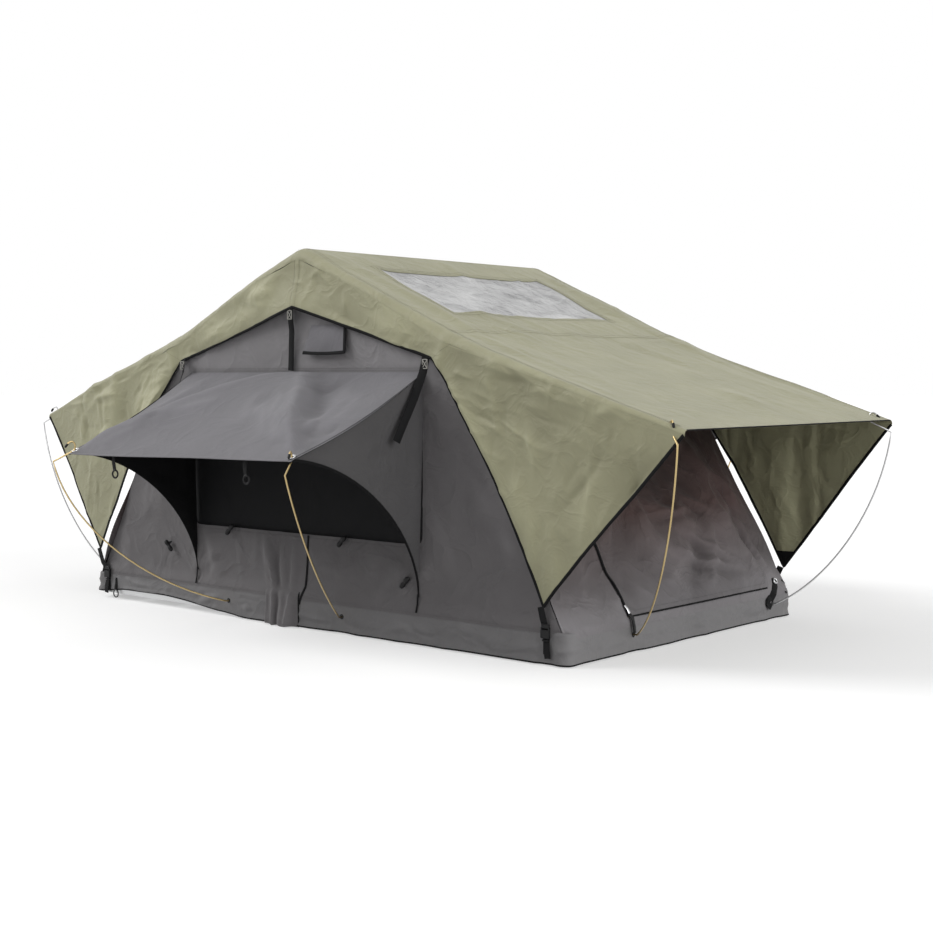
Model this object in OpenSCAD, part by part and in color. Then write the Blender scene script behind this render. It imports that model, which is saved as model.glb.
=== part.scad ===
// Soft-shell roof top tent, open for use: hinged two-part base, three hoops, canvas body,
// rain fly with wings, hooded side windows and sprung rods. Millimetres, +Z up.
// X runs across the hinge (the half that folds over is at -X), Y along the hinge, and z = 0 is
// the underside of the mounting rails.

/* [Base] */
// Length of the open base across the hinge
base_length = 2440; // [2300:10:2600]
// Width of the base along the hinge
base_width = 1420; // [1300:10:1500]
// Radius of the base's outer corners in plan
base_corner = 28; // [16:1:30]
// Height of the perimeter channel
frame_height = 55; // [50:1:70]
// Width of the channel's flanges
flange_width = 30; // [28:1:40]
// Wall of the perimeter channel
frame_wall = 3; // [2:0.5:4]
// Gap between the two half frames at the hinge line
hinge_gap = 3; // [2:0.5:6]
// Number of cross members under each floor panel
cross_count = 4; // [3:1:6]
// Width of a cross member
cross_width = 40; // [30:1:60]
// Thickness of the floor panel
panel_thickness = 25; // [15:1:30]
// Thickness of a mattress half
mattress_thickness = 60; // [40:1:70]
// Mattress edge to the frame's outer side
mattress_inset = 76; // [74:1:110]

/* [Rails] */
// Height of a mounting rail
rail_height = 25; // [20:1:35]
// Width of a mounting rail
rail_width = 40; // [34:1:50]
// Length of a mounting rail
rail_length = 1100; // [900:10:1120]
// Distance between the two rails, centre to centre
rail_spacing = 800; // [600:10:1000]
// Wall of the rail
rail_wall = 3; // [2:0.5:4]
// Width of the slot along the rail's underside
rail_slot = 11; // [9:0.5:14]
// Bolts through each rail
rail_bolt_count = 3; // [2:1:5]

/* [Hinge and hoops] */
// Outer diameter of the hoop tube
tube_d = 19; // [16:0.5:22]
// Bend radius of the hoop corners, to the tube's middle
hoop_bend = 70; // [50:1:110]
// Gap between the hoops when they lie stacked
stack_gap = 5; // [4:0.5:10]
// Diameter of the pivot pins
pin_d = 10; // [8:0.5:12]
// Thickness of a hinge plate
plate_thickness = 5; // [4:0.5:7]
// Distance of the side hoops' pivots from the hinge pin, along X
side_pivot_x = 60; // [55:1:80]
// Length of the hinge plate's foot
plate_foot = 130; // [110:1:160]
// Length of a hoop end fitting's sleeve past its eye
sleeve_length = 26; // [20:1:30]

/* [Canopy] */
// Height of the ridge above the rails' underside
ridge_z = 1373; // [1300:1:1450]
// Shoulder of the fly, out from the ridge
shoulder_x = 700; // [640:5:760]
// Height of the shoulder
shoulder_z = 1060; // [1000:5:1100]
// How far the fly's awning tips reach past the base's ends
awning_reach = 385; // [280:5:480]
// Height of the awning tip
tip_z = 752; // [700:1:800]
// Thickness of a fabric panel
fabric = 3; // [2:0.5:4]
// Gap between the fly and the inner roof at the shoulders
fly_gap = 22; // [10:1:40]
// How far the fly's sides stand outside the gable walls
fly_overhang = 12; // [8:1:30]
// How far the awning's free edge curves in between its tips
awning_curve = 45; // [10:1:80]
// Height of the valance hem at the peak
hem_peak_z = 1160; // [1100:5:1200]
// Place of the hem's lower ends along X
hem_end_x = 670; // [620:5:690]
// Height of the hem's lower ends
hem_end_z = 963; // [900:1:1000]
// Distance of the wings' lower corners from the base's ends
wing_corner_inset = 80; // [60:5:170]
// Height of the wings' lower corners above the skirt
wing_corner_rise = 62; // [50:1:68]
// How far the wings' free edges curve in
wing_curve = 28; // [10:1:60]
// Skylight, near edge out from the ridge
skylight_x0 = 177; // [120:1:220]
// Skylight, far edge out from the ridge
skylight_x1 = 536; // [460:1:600]
// Width of the skylight along the ridge
skylight_width = 934; // [700:2:1100]

/* [Walls and windows] */
// Inset of the gable wall from the frame's side
gable_inset = 7; // [6:0.5:10]
// Width of the side window
window_width = 1180; // [1000:10:1190]
// Sill height of the side window
window_sill = 325; // [280:5:400]
// Head height of the side window
window_head = 910; // [850:5:920]
// Width of the window hood
hood_width = 1216; // [1200:2:1230]
// Height of the hood's seam on the wall
hood_seam_z = 930; // [925:1:950]
// Reach of the hood, out from the wall
hood_reach = 590; // [450:5:620]
// Fall of the hood from its seam to its free edge
hood_fall = 275; // [200:5:360]
// Foot of the hood's side panels on the wall
hood_foot_z = 180; // [150:5:300]
// Door's edge towards the near side
door_near = 430; // [350:5:500]
// Door's edge towards the far side
door_far = 520; // [400:5:560]
// Door's height up the sloping end wall
door_height = 800; // [600:10:860]
// Corner radius of the door
door_corner = 90; // [40:5:140]
// Width of the vent hood
vent_width = 180; // [140:5:220]
// Height of the vent hood
vent_height = 95; // [70:1:100]
// Vent's near edge from the gable's middle
vent_offset = 66; // [50:1:90]
// Height of the vent hood's top seam
vent_top_z = 1098; // [1090:1:1110]
// How far the vent hood is propped open, in degrees
vent_tilt = 26; // [15:1:35]

/* [Skirt, rods and straps] */
// Height of the skirt
skirt_height = 100; // [90:1:120]
// Height of the skirt's hem above the rails' underside
hem_z = 5; // [3:0.5:10]
// Width of the flap over the hinge line
flap_width = 180; // [100:5:200]
// Diameter of the sprung rods
rod_d = 6; // [5:0.5:8]
// Height of the rod sockets
socket_z = 62; // [56:1:66]
// Depth to which a rod is pushed into its socket
socket_depth = 24; // [18:1:26]
// Window rod nearest the hinge, along X
window_rod_inner = 221; // [180:1:260]
// Slack of that rod's sweep: 0 is straight, 1 is slack like the other rods
window_rod_inner_slack = 0.4; // [0:0.05:1]
// Window rod furthest from the hinge, along X
window_rod_outer = 390; // [330:1:450]
// End rod nearest the middle, along Y
end_rod_inner = 347; // [300:1:400]
// End rod furthest from the middle, along Y
end_rod_outer = 574; // [500:1:600]
// Inset of an eyelet from the edges of its panel
eyelet_inset = 20; // [18:1:30]
// Inset of the fly's eyelets from the fly's sides
eyelet_side = 55; // [40:1:80]
// Bore radius of an eyelet
eyelet_bore = 7; // [6:0.5:9]
// Rim radius of an eyelet
eyelet_rim = 13; // [12:0.5:16]
// How far a rod's crank stands outside its eyelet
crank_reach = 80; // [50:1:100]
// How far a rod's crank lies below its eyelet
crank_drop = 52; // [35:1:70]
// Width of the webbing straps
webbing_width = 38; // [25:1:50]
// Thickness of the webbing
webbing = 1.5; // [1:0.5:3]
// Width of a corner buckle
buckle_width = 34; // [28:1:44]
// Length of a corner buckle
buckle_length = 46; // [40:1:48]
// Thickness of a corner buckle
buckle_thickness = 10; // [8:1:14]
// Distance of the hanging ring from the base's end
ring_inset = 130; // [100:5:220]
// Radius of the hanging ring, to its wire's middle
ring_radius = 15; // [12:0.5:17]
// Diameter of the ring's wire
ring_wire = 5; // [4:0.5:6]

/* [Hidden] */
$fn = 48;

canvas = [0.25, 0.25, 0.25];
olive = [0.46, 0.48, 0.34];
alloy = [0.75, 0.76, 0.78];
zinc = [0.72, 0.6, 0.35];
black = [0.06, 0.06, 0.06];

// Clearances: a seat where a soft piece lies on its neighbour, a running gap, and a pin in its eye
seat = 0.3;
running = 1;
pin_clearance = 0.06;
// A length that runs cuts past the faces that they open, and the root gap of a weld
past = 1;
weld_gap = 0.02;

// Base levels and sides
half_length = base_length / 2;
half_width = base_width / 2;
frame_end = half_length - fabric - seat;
frame_side = half_width - fabric - seat;
floor_z = rail_height + frame_height;
panel_z = floor_z - panel_thickness;
mattress_top = floor_z + seat + mattress_thickness;
skirt_top = hem_z + skirt_height;
mattress_end = frame_end - mattress_inset;
opening_corner = 8;
rail_y = rail_spacing / 2;
rail_x0 = (frame_end - rail_length) / 2;

// Pivots: the side hoops lie just over their mattress, and the ridge hoop one step above them
tube_r = tube_d / 2;
stack_step = tube_d + stack_gap;
side_pivot_z = mattress_top + running + tube_r;
pivot_z = side_pivot_z + stack_step;

// Stations along Y at the hinge, from the gable wall inwards
pin_head = 3;
eye_length = 24;
gable_out = frame_side - gable_inset;
gable_in = gable_out - fabric;
fold_plate_y = gable_in - running - pin_head - plate_thickness;
fixed_plate_y = fold_plate_y - running - plate_thickness;
eye_out = fixed_plate_y - running;
hoop_y = eye_out - eye_length / 2;
eye_in = eye_out - eye_length;
eye_r = 13;
plate_ear = 18;
plate_tab = 4;
bolt_r = 2.5;
bolt_head_r = 4.5;
bolt_head = 4;
rail_bolt_r = 3.5;

// How far the inner shoulder, the side hoops' bars and the walls' feet are set in
shoulder_set = 10;
bar_set = 26;
wall_set = 12;

// The fly's line and the inner roof below it
fly_side = gable_out + fly_overhang;
tip_x = half_length + awning_reach;
roof_slope = atan2(ridge_z - shoulder_z, shoulder_x);
awning_slope = atan2(shoulder_z - tip_z, tip_x - shoulder_x);
fly_depth = fabric / cos(roof_slope);
inner_ridge_z = ridge_z - fly_depth - seat;
inner_shoulder_z = shoulder_z - fly_depth - fly_gap;
inner_shoulder_x = shoulder_x - shoulder_set;
inner_slope = atan2(inner_ridge_z - inner_shoulder_z, inner_shoulder_x);
inner_depth = fabric / cos(inner_slope);

// Hoop heads, just under the inner roof at the ridge and the shoulders
ridge_bar_z = inner_ridge_z - inner_depth - (tube_r + seat) / cos(inner_slope);
side_bar_x = inner_shoulder_x - bar_set;
side_bar_z = inner_shoulder_z - inner_depth - tube_r - seat;
ridge_reach = tenth(ridge_bar_z - pivot_z);
side_reach = tenth(norm([side_bar_x - side_pivot_x, side_bar_z - side_pivot_z]));
side_lean = atan2(side_bar_x - side_pivot_x, side_bar_z - side_pivot_z);

// End walls stand on the frame and lean in to the shoulders
wall_foot_x = frame_end - wall_set;
wall_foot_z = floor_z + seat;
wall_lean = atan2(wall_foot_x - inner_shoulder_x, inner_shoulder_z - wall_foot_z);
wall_length = norm([wall_foot_x - inner_shoulder_x, inner_shoulder_z - wall_foot_z]) - 2 * fabric;

// Hood, its eyelets, and the fly's eyelets
hood_x = hood_width / 2;
hood_slope = atan2(hood_fall, hood_reach);
hood_eyelet = [hood_x - 2 * eyelet_inset, hood_reach - eyelet_inset];
hood_eyelet_z = hood_seam_z - hood_eyelet[1] * hood_fall / hood_reach;
hood_wall_y = gable_out + seat;
eyelet_wall = 1.5;
eyelet_hole = eyelet_bore + eyelet_wall + seat;
fly_eyelet = [tip_x - awning_curve / 2 - eyelet_inset, fly_side - eyelet_side];
fly_eyelet_z = fly_z(fly_eyelet[0]);
wing_corner_x = half_length - wing_corner_inset;
wing_corner_z = skirt_top + wing_corner_rise;

// Rods: stub straight out of the socket, and the hook past the eyelet
rod_r = rod_d / 2;
rod_sides = 8;
rod_steps = 7;
rod_stub = 16;
rod_clearance = 0.15;
socket_end = 2;
socket_r = rod_r + 2.5;
socket_flange_r = socket_r + 4;
socket_flange = 1.5;
cap_length = 14;
cap_taper = 3;
cap_r = rod_r + 1.5;

// Pulls of a rod's sweep, as shares of its span and rise: leaving the socket and reaching the crank
leave_pull = [0.5, 0.16];
reach_pull = [0.08, 0.42];
// The hook through an eyelet, as [outwards, up] from the eyelet's middle
hook = [[7, -16], [1, -8], [0, 3], [3, 12], [12, 18], [23, 14], [30, 6]];

// The hanging ring, with play in its webbing loop
loop_width = 10;
ring_play = 1.2;
ring_x = half_length - ring_inset;
ring_top_z = hem_z + ring_wire + 2 * ring_radius;
ring_y = half_width + seat + webbing + ring_play + ring_wire / 2;

// A tube's length, cut to a tenth of a millimetre
function tenth(length) = round(length * 10) / 10;

// Height of the fly's top face at x
function fly_z(x) =
    abs(x) < shoulder_x
        ? ridge_z - (ridge_z - shoulder_z) * abs(x) / shoulder_x
        : shoulder_z - (shoulder_z - tip_z) * (abs(x) - shoulder_x) / (tip_x - shoulder_x);

// Height of the inner roof's top face at x
function inner_z(x) = inner_ridge_z - (inner_ridge_z - inner_shoulder_z) * abs(x) / inner_shoulder_x;

// Height of the valance hem at x
function hem_line(x) = hem_peak_z - (hem_peak_z - hem_end_z) * abs(x) / hem_end_x;

function unit(v) = v / norm(v);

// Centre of the circle of radius r through a and b, to the right of the way from a to b
function arc_centre(a, b, r) =
    let (half = norm(b - a) / 2, d = unit(b - a))
    (a + b) / 2 + [d[1], -d[0]] * sqrt(r * r - half * half);

// Radius of an arc over a chord with the given rise
function arc_radius(a, b, rise) = let (half = norm(b - a) / 2) (half * half + rise * rise) / (2 * rise);

// Places that share the plan: the far side with its mirror image, and the folding half
module both_sides() {
    children();
    mirror([0, 1, 0]) children();
}

module left_half() {
    rotate([0, 0, 180]) children();
}

// An X-Z outline made solid from y0 to y1
module across(y0, y1) {
    translate([0, y1, 0]) rotate([90, 0, 0]) linear_extrude(y1 - y0) children();
}

// A Y-Z outline made solid from x0 to x1
module lengthwise(x0, x1) {
    translate([x0, 0, 0]) rotate([90, 0, 90]) linear_extrude(x1 - x0) children();
}

// A shape along +Z laid at p along the direction d
module along(p, d) {
    translate(p) rotate([0, acos(d[2] / norm(d)), atan2(d[1], d[0])]) children();
}

// Plan of a base half with its outer corners rounded
module half_plan(x0, x1, side, corner) {
    translate([x0, -side]) square([x1 - x0 - corner, 2 * side]);
    translate([x0, corner - side]) square([x1 - x0, 2 * (side - corner)]);
    for (y = [-1, 1]) translate([x1 - corner, y * (side - corner)]) circle(corner);
}

module half_slab(x0, x1, side, corner, z0, z1) {
    translate([0, 0, z0]) linear_extrude(z1 - z0) half_plan(x0, x1, side, corner);
}

// Rods of the right half: socket, way out of it, eyelet and slack. The left half is the same turned round
window_rods = [
    [[window_rod_inner, -half_width, socket_z], [0, -1, 0],
        [hood_eyelet[0], -hood_wall_y - hood_eyelet[1], hood_eyelet_z], window_rod_inner_slack],
    [[window_rod_outer, half_width, socket_z], [0, 1, 0],
        [hood_eyelet[0], hood_wall_y + hood_eyelet[1], hood_eyelet_z], 1]
];
end_rods = [
    [[half_length, -end_rod_inner, socket_z], [1, 0, 0], [fly_eyelet[0], -fly_eyelet[1], fly_eyelet_z], 1],
    [[half_length, end_rod_outer, socket_z], [1, 0, 0], [fly_eyelet[0], fly_eyelet[1], fly_eyelet_z], 1]
];
all_rods = concat(window_rods, end_rods);

// A point of a cubic curve
function bezier(a, b, c, d, t) =
    pow(1 - t, 3) * a + 3 * t * pow(1 - t, 2) * b + 3 * t * t * (1 - t) * c + pow(t, 3) * d;

// Plan direction from a rod's socket to its eyelet
function rod_away(rod) = unit([rod[2][0] - rod[0][0], rod[2][1] - rod[0][1], 0]);

// Route of a rod: into its socket, a sprung sweep up to the crank, through the eyelet and over
function rod_path(rod) =
    let (
        up = [0, 0, 1],
        away = rod_away(rod),
        start = rod[0] + rod[1] * rod_stub,
        crank = rod[2] + away * crank_reach - up * crank_drop,
        span = norm([crank[0] - start[0], crank[1] - start[1]]),
        rise = crank[2] - start[2],
        third = (crank - start) / 3,
        leave = away * span * leave_pull[0] + up * rise * leave_pull[1],
        reach = away * span * reach_pull[0] + up * rise * reach_pull[1],
        lean = start + third + (leave - third) * rod[3],
        stand = crank - third - (reach - third) * rod[3]
    )
    concat(
        [rod[0] - rod[1] * socket_depth],
        [for (i = [0 : rod_steps]) bezier(start, lean, stand, crank, i / rod_steps)],
        [for (o = hook) rod[2] + away * o[0] + up * o[1]]
    );

// Ways along a route at each of its points
function route_ways(path) =
    let (
        last = len(path) - 1,
        steps = [for (i = [1 : last]) unit(path[i] - path[i - 1])]
    )
    [for (i = [0 : last]) unit(steps[max(i - 1, 0)] + steps[min(i, last - 1)])];

// A round tube along a route that stays near the plane across side
module tube_along(path, side, r, sides) {
    ways = route_ways(path);
    last = len(path) - 1;
    rings = [
        for (i = [0 : last])
            let (a = unit(cross(side, ways[i])), b = cross(ways[i], a))
            for (k = [0 : sides - 1])
                path[i] + r * (cos(360 * k / sides) * a + sin(360 * k / sides) * b)
    ];
    walls = [
        for (i = [0 : last - 1])
            for (k = [0 : sides - 1])
                let (n = (k + 1) % sides, p = i * sides, q = p + sides)
                for (f = [[p + k, q + k, q + n], [p + k, q + n, p + n]]) f
    ];
    ends = [
        for (k = [1 : sides - 2])
            for (f = [[0, k, k + 1], [last * sides, last * sides + k + 1, last * sides + k]]) f
    ];
    polyhedron(rings, concat(walls, ends));
}

module sprung_rod(rod) {
    tube_along(rod_path(rod), cross([0, 0, 1], rod_away(rod)), rod_r, rod_sides);
}

module rod_cap(rod) {
    path = rod_path(rod);
    tail = path[len(path) - 1];
    way = unit(tail - path[len(path) - 2]);
    along(tail + way * seat / 2, way) {
        cylinder(h = cap_length, r = cap_r);
        translate([0, 0, cap_length]) cylinder(h = cap_taper, r1 = cap_r, r2 = cap_r - cap_taper / 2);
    }
}

module rod_socket(rod) {
    barrel = socket_end + socket_depth + seat;
    along(rod[0] - rod[1] * (socket_end + socket_depth), rod[1]) difference() {
        union() {
            cylinder(h = barrel, r = socket_r);
            translate([0, 0, barrel]) cylinder(h = socket_flange, r = socket_flange_r);
        }
        translate([0, 0, socket_end - seat]) cylinder(h = barrel + socket_flange, r = rod_r + rod_clearance);
    }
}

// Clear holes for the rod sockets of one half
module socket_holes() {
    for (rod = all_rods)
        along(rod[0] - rod[1] * (flange_width - past), rod[1])
            cylinder(h = flange_width + past, r = socket_r + seat / 2);
}

// Bolts of a hinge plate's tab, as [x, y] on the far side
function plate_bolts(y) =
    [for (i = [1 : plate_bolt_count]) [hinge_gap + plate_foot * (i - 0.5) / plate_bolt_count, y]];
plate_bolt_count = 3;
bolt_land = 0.5;
fixed_bolt_y = fixed_plate_y + plate_thickness + bolt_head_r + bolt_land;
fold_bolt_y = fold_plate_y - bolt_head_r - bolt_land;

// Perimeter channel of a half, with cross members that are channels open to the floor panel
module half_frame(bolt_y) {
    x0 = hinge_gap / 2;
    pitch = (frame_end - x0) / (cross_count + 1);
    difference() {
        half_slab(x0, frame_end, frame_side, base_corner, rail_height, floor_z);
        half_slab(x0 + frame_wall, frame_end - frame_wall, frame_side - frame_wall, base_corner - frame_wall,
            rail_height + frame_wall, floor_z - frame_wall);
        half_slab(x0 + flange_width, frame_end - flange_width, frame_side - flange_width,
            opening_corner, rail_height - past, floor_z + past);
        socket_holes();
        both_sides() for (b = plate_bolts(bolt_y))
            translate([b[0], b[1], floor_z - frame_wall - past])
                cylinder(h = frame_wall + 2 * past, r = bolt_r + seat);
    }
    difference() {
        for (i = [1 : cross_count])
            translate([x0 + i * pitch - cross_width / 2, frame_wall - frame_side, rail_height])
                cube([cross_width, 2 * (frame_side - frame_wall), panel_z - rail_height]);
        for (i = [1 : cross_count])
            translate([x0 + i * pitch - cross_width / 2 + frame_wall, frame_wall - frame_side - past,
                rail_height + frame_wall])
                cube([cross_width - 2 * frame_wall, 2 * (frame_side - frame_wall + past), frame_height]);
        for (y = [-rail_y, rail_y]) rail_bolt_places(y)
            translate([0, 0, rail_height - past])
                cylinder(h = frame_wall + 2 * past, r = rail_bolt_r + seat);
        socket_holes();
    }
}

module half_panel() {
    edge = flange_width + seat;
    half_slab(hinge_gap / 2 + edge, frame_end - edge, frame_side - edge, opening_corner - seat,
        panel_z, floor_z);
}

module half_mattress() {
    half_slab(hinge_gap / 2 + seat, mattress_end, frame_side - mattress_inset, base_corner,
        floor_z + seat, mattress_top);
}

// Skirt of a half: a band round the three outer sides
module half_skirt() {
    difference() {
        half_slab(running, half_length, half_width, base_corner + fabric, hem_z, skirt_top);
        half_slab(-past, half_length - fabric, half_width - fabric, base_corner,
            hem_z - past, skirt_top + past);
        for (rod = all_rods)
            along(rod[0] - rod[1] * (fabric + past), rod[1])
                cylinder(h = fabric + 2 * past, r = socket_r + seat / 2);
    }
}

// Places of the bolts along a rail: at cross members, as far apart as the count asks
module rail_bolt_places(y) {
    pitch = (frame_end - hinge_gap / 2) / (cross_count + 1);
    for (i = [0 : rail_bolt_count - 1]) {
        n = 1 + round(i * (cross_count - 1) / (rail_bolt_count - 1));
        translate([hinge_gap / 2 + n * pitch, y, 0]) children();
    }
}

// Mounting rail: a lipped channel with its slot below, welded up from a web, two sides and two lips
module mounting_rail(y) {
    edge = rail_width / 2;
    color(alloy) difference() {
        lengthwise(rail_x0, rail_x0 + rail_length) translate([y, 0]) {
            translate([-edge, rail_height - rail_wall]) square([rail_width, rail_wall]);
            for (m = [0, 1]) mirror([m, 0]) {
                translate([-edge, rail_wall + weld_gap])
                    square([rail_wall, rail_height - 2 * (rail_wall + weld_gap)]);
                translate([-edge, 0]) square([edge - rail_slot / 2, rail_wall]);
            }
        }
        rail_bolt_places(y)
            translate([0, 0, rail_height - rail_wall - past])
                cylinder(h = rail_wall + 2 * past, r = rail_bolt_r + seat);
    }
}

// End cap: a lid with a plug that leaves the slot open
module rail_end_caps() {
    lid = 4;
    plug = 16;
    bridge = 4;
    inside = rail_wall + seat / 2;
    color(black) for (y = [-rail_y, rail_y], s = [0, 1]) {
        translate([rail_x0 + s * rail_length, y, 0]) mirror([1 - s, 0, 0]) difference() {
            union() {
                lengthwise(0, lid) translate([-rail_width / 2, 0]) square([rail_width, rail_height]);
                lengthwise(-plug, past) translate([inside - rail_width / 2, inside])
                    square([rail_width - 2 * inside, rail_height - 2 * inside]);
            }
            translate([-plug - past, -rail_slot / 2, -past])
                cube([plug + lid + 2 * past, rail_slot, rail_height - rail_wall - bridge + past]);
        }
    }
}

// Bolts that hold the rails to the cross members: head inside the rail, nut on the cross member
module rail_bolts() {
    nut = 6;
    grip = rail_wall + frame_wall;
    color(alloy) for (y = [-rail_y, rail_y]) rail_bolt_places(y) translate([0, 0, rail_height - rail_wall]) {
        translate([0, 0, -bolt_head]) cylinder(h = bolt_head, r = 2 * rail_bolt_r);
        cylinder(h = grip + nut, r = rail_bolt_r);
        translate([0, 0, grip]) cylinder(h = nut, r = 2 * rail_bolt_r, $fn = 6);
    }
}

module fixed_frame() {
    color(alloy) half_frame(fixed_bolt_y);
}

module fixed_floor_panel() {
    color([0.8, 0.8, 0.8]) half_panel();
}

module fixed_mattress() {
    color([0.35, 0.36, 0.38]) half_mattress();
}

module fixed_skirt() {
    color(canvas) half_skirt();
}

module near_mounting_rail() {
    mounting_rail(-rail_y);
}

module far_mounting_rail() {
    mounting_rail(rail_y);
}

// Outline of a hinge plate: ear round the hinge pin, boss round the side hoop's pin, and a broad foot
module plate_outline() {
    ear = [0, pivot_z];
    boss = [side_pivot_x, side_pivot_z];
    link = unit(boss - ear);
    across_link = [-link[1], link[0]];
    boss_r = plate_ear - 2;
    window_r = plate_ear - 4;
    difference() {
        union() {
            translate(ear) circle(plate_ear);
            translate(boss) circle(boss_r);
            polygon([ear + across_link * plate_ear, ear - across_link * plate_ear,
                boss - across_link * boss_r, boss + across_link * boss_r]);
            polygon([ear - [0, plate_ear], [hinge_gap, floor_z], [hinge_gap + plate_foot, floor_z],
                boss + [boss_r, 0], boss]);
        }
        translate(ear) circle(pin_d / 2 + pin_clearance);
        translate(boss) circle(pin_d / 2 + pin_clearance);
        translate([side_pivot_x, (side_pivot_z - boss_r + floor_z) / 2]) circle(window_r);
    }
}

// Hinge plate with the tab that bolts to the frame, from y0 outwards, tab from t0 to t1
module hinge_plate(y0, t0, t1, bolt_y) {
    difference() {
        union() {
            across(y0, y0 + plate_thickness) plate_outline();
            translate([hinge_gap, t0, floor_z]) cube([plate_foot, t1 - t0, plate_tab]);
        }
        for (b = plate_bolts(bolt_y))
            translate([b[0], b[1], floor_z - past]) cylinder(h = plate_tab + 2 * past, r = bolt_r + seat);
    }
}

module plate_bolt_set(y) {
    nut = 5;
    for (b = plate_bolts(y)) translate([b[0], b[1], 0]) {
        translate([0, 0, floor_z + plate_tab]) cylinder(h = bolt_head, r = bolt_head_r);
        translate([0, 0, floor_z - frame_wall - nut]) cylinder(h = frame_wall + nut + plate_tab, r = bolt_r);
        translate([0, 0, floor_z - frame_wall - nut]) cylinder(h = nut, r = bolt_head_r, $fn = 6);
    }
}

module fixed_hinge_plates() {
    tab_end = fixed_bolt_y + bolt_head_r;
    color(zinc) both_sides() hinge_plate(fixed_plate_y, fixed_plate_y, tab_end, fixed_bolt_y);
}

module fixed_plate_bolts() {
    color(alloy) both_sides() plate_bolt_set(fixed_bolt_y);
}

// Pivot pin from y0 to y1 with a head at y1 and a retaining collar at y0
module pivot_pin(x, z, y0, y1) {
    collar = 4;
    collar_rim = 3;
    head_rim = 4;
    translate([x, y0 - collar, z]) rotate([-90, 0, 0]) {
        cylinder(h = y1 - y0 + collar, r = pin_d / 2);
        cylinder(h = collar - seat, r = pin_d / 2 + collar_rim);
        translate([0, 0, y1 - y0 + collar]) cylinder(h = pin_head, r = pin_d / 2 + head_rim);
    }
}

module main_hinge_pins() {
    color(alloy) both_sides() pivot_pin(0, pivot_z, eye_in, fold_plate_y + plate_thickness + seat);
}

module right_hoop_pins() {
    color(alloy) both_sides()
        pivot_pin(side_pivot_x, side_pivot_z, eye_in, fixed_plate_y + plate_thickness + seat);
}

module left_hoop_pins() {
    color(alloy) both_sides()
        pivot_pin(-side_pivot_x, side_pivot_z, eye_in, fold_plate_y + plate_thickness + seat);
}

// Spacers that fill the space of the other half's plate beside the left hoop's eyes
module left_hoop_spacers() {
    rim = 4;
    length = fold_plate_y - eye_out - seat;
    color(black) both_sides()
        translate([-side_pivot_x, eye_out + seat, side_pivot_z]) rotate([-90, 0, 0]) difference() {
            cylinder(h = length, r = pin_d / 2 + rim);
            translate([0, 0, -past]) cylinder(h = length + 2 * past, r = pin_d / 2 + pin_clearance);
        }
}

module fixed_rod_sockets() {
    color(alloy) for (rod = all_rods) rod_socket(rod);
}

module right_end_rods() {
    color(zinc) for (rod = end_rods) sprung_rod(rod);
}

module right_window_rods() {
    color(zinc) for (rod = window_rods) sprung_rod(rod);
}

module right_rod_caps() {
    color(black) for (rod = all_rods) rod_cap(rod);
}

// Strap from a wing's corner down to the skirt, with its two-part side-release buckle
module corner_buckle() {
    strap_width = 25;
    strap_y = half_width + seat;
    strap_top = wing_corner_z - seat;
    strap_foot = hem_z + 30;
    buckle_z = strap_top - buckle_length - 8;
    body_length = buckle_length - 20;
    shoulder = 3.5;
    bar_slot = 4;
    bar_edge = 5;
    prong_slot = 3;
    prong_depth = 2;
    translate([wing_corner_x - strap_width / 2, strap_y, strap_foot])
        cube([strap_width, webbing, strap_top - strap_foot]);
    translate([wing_corner_x, strap_y + webbing, buckle_z]) difference() {
        across(0, buckle_thickness) union() {
            translate([-buckle_width / 2, 0]) square([buckle_width, body_length]);
            translate([shoulder - buckle_width / 2, 0]) square([buckle_width - 2 * shoulder, buckle_length]);
            for (s = [-1, 1]) translate([s * (buckle_width / 2 - shoulder), body_length]) circle(shoulder);
        }
        for (z = [bar_edge, buckle_length - bar_edge - bar_slot])
            translate([-strap_width / 2, buckle_thickness / 2, z])
                cube([strap_width, buckle_thickness, bar_slot]);
        for (s = [-1, 1])
            translate([s * strap_width / 4 - prong_slot / 2, buckle_thickness - prong_depth, body_length / 2])
                cube([prong_slot, prong_depth + past, body_length]);
    }
}

module right_corner_buckles() {
    color(black) both_sides() corner_buckle();
}

module left_corner_buckles() {
    color(black) left_half() both_sides() corner_buckle();
}

module folding_frame() {
    color(alloy) left_half() half_frame(fold_bolt_y);
}

module folding_floor_panel() {
    color([0.8, 0.8, 0.8]) left_half() half_panel();
}

module folding_mattress() {
    color([0.35, 0.36, 0.38]) left_half() half_mattress();
}

module folding_skirt() {
    color(canvas) left_half() half_skirt();
}

// Flaps over the hinge line, sewn to the folding half's skirt
module hinge_flaps() {
    bevel = 12;
    drop = 3;
    color(canvas) both_sides() across(half_width + seat, half_width + seat + fabric)
        polygon([[-flap_width, skirt_top], [-flap_width, hem_z], [-flap_width + bevel, hem_z - drop],
            [-running, hem_z - drop], [-running, skirt_top]]);
}

module folding_hinge_plates() {
    tab_start = fold_bolt_y - bolt_head_r;
    color(zinc) left_half() both_sides()
        hinge_plate(fold_plate_y, tab_start, fold_plate_y + plate_thickness, fold_bolt_y);
}

module folding_plate_bolts() {
    color(alloy) left_half() both_sides() plate_bolt_set(fold_bolt_y);
}

module folding_rod_sockets() {
    color(alloy) left_half() for (rod = all_rods) rod_socket(rod);
}

module left_end_rods() {
    color(zinc) left_half() for (rod = end_rods) sprung_rod(rod);
}

module left_window_rods() {
    color(zinc) left_half() for (rod = window_rods) sprung_rod(rod);
}

module left_rod_caps() {
    color(black) left_half() for (rod = all_rods) rod_cap(rod);
}

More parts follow.
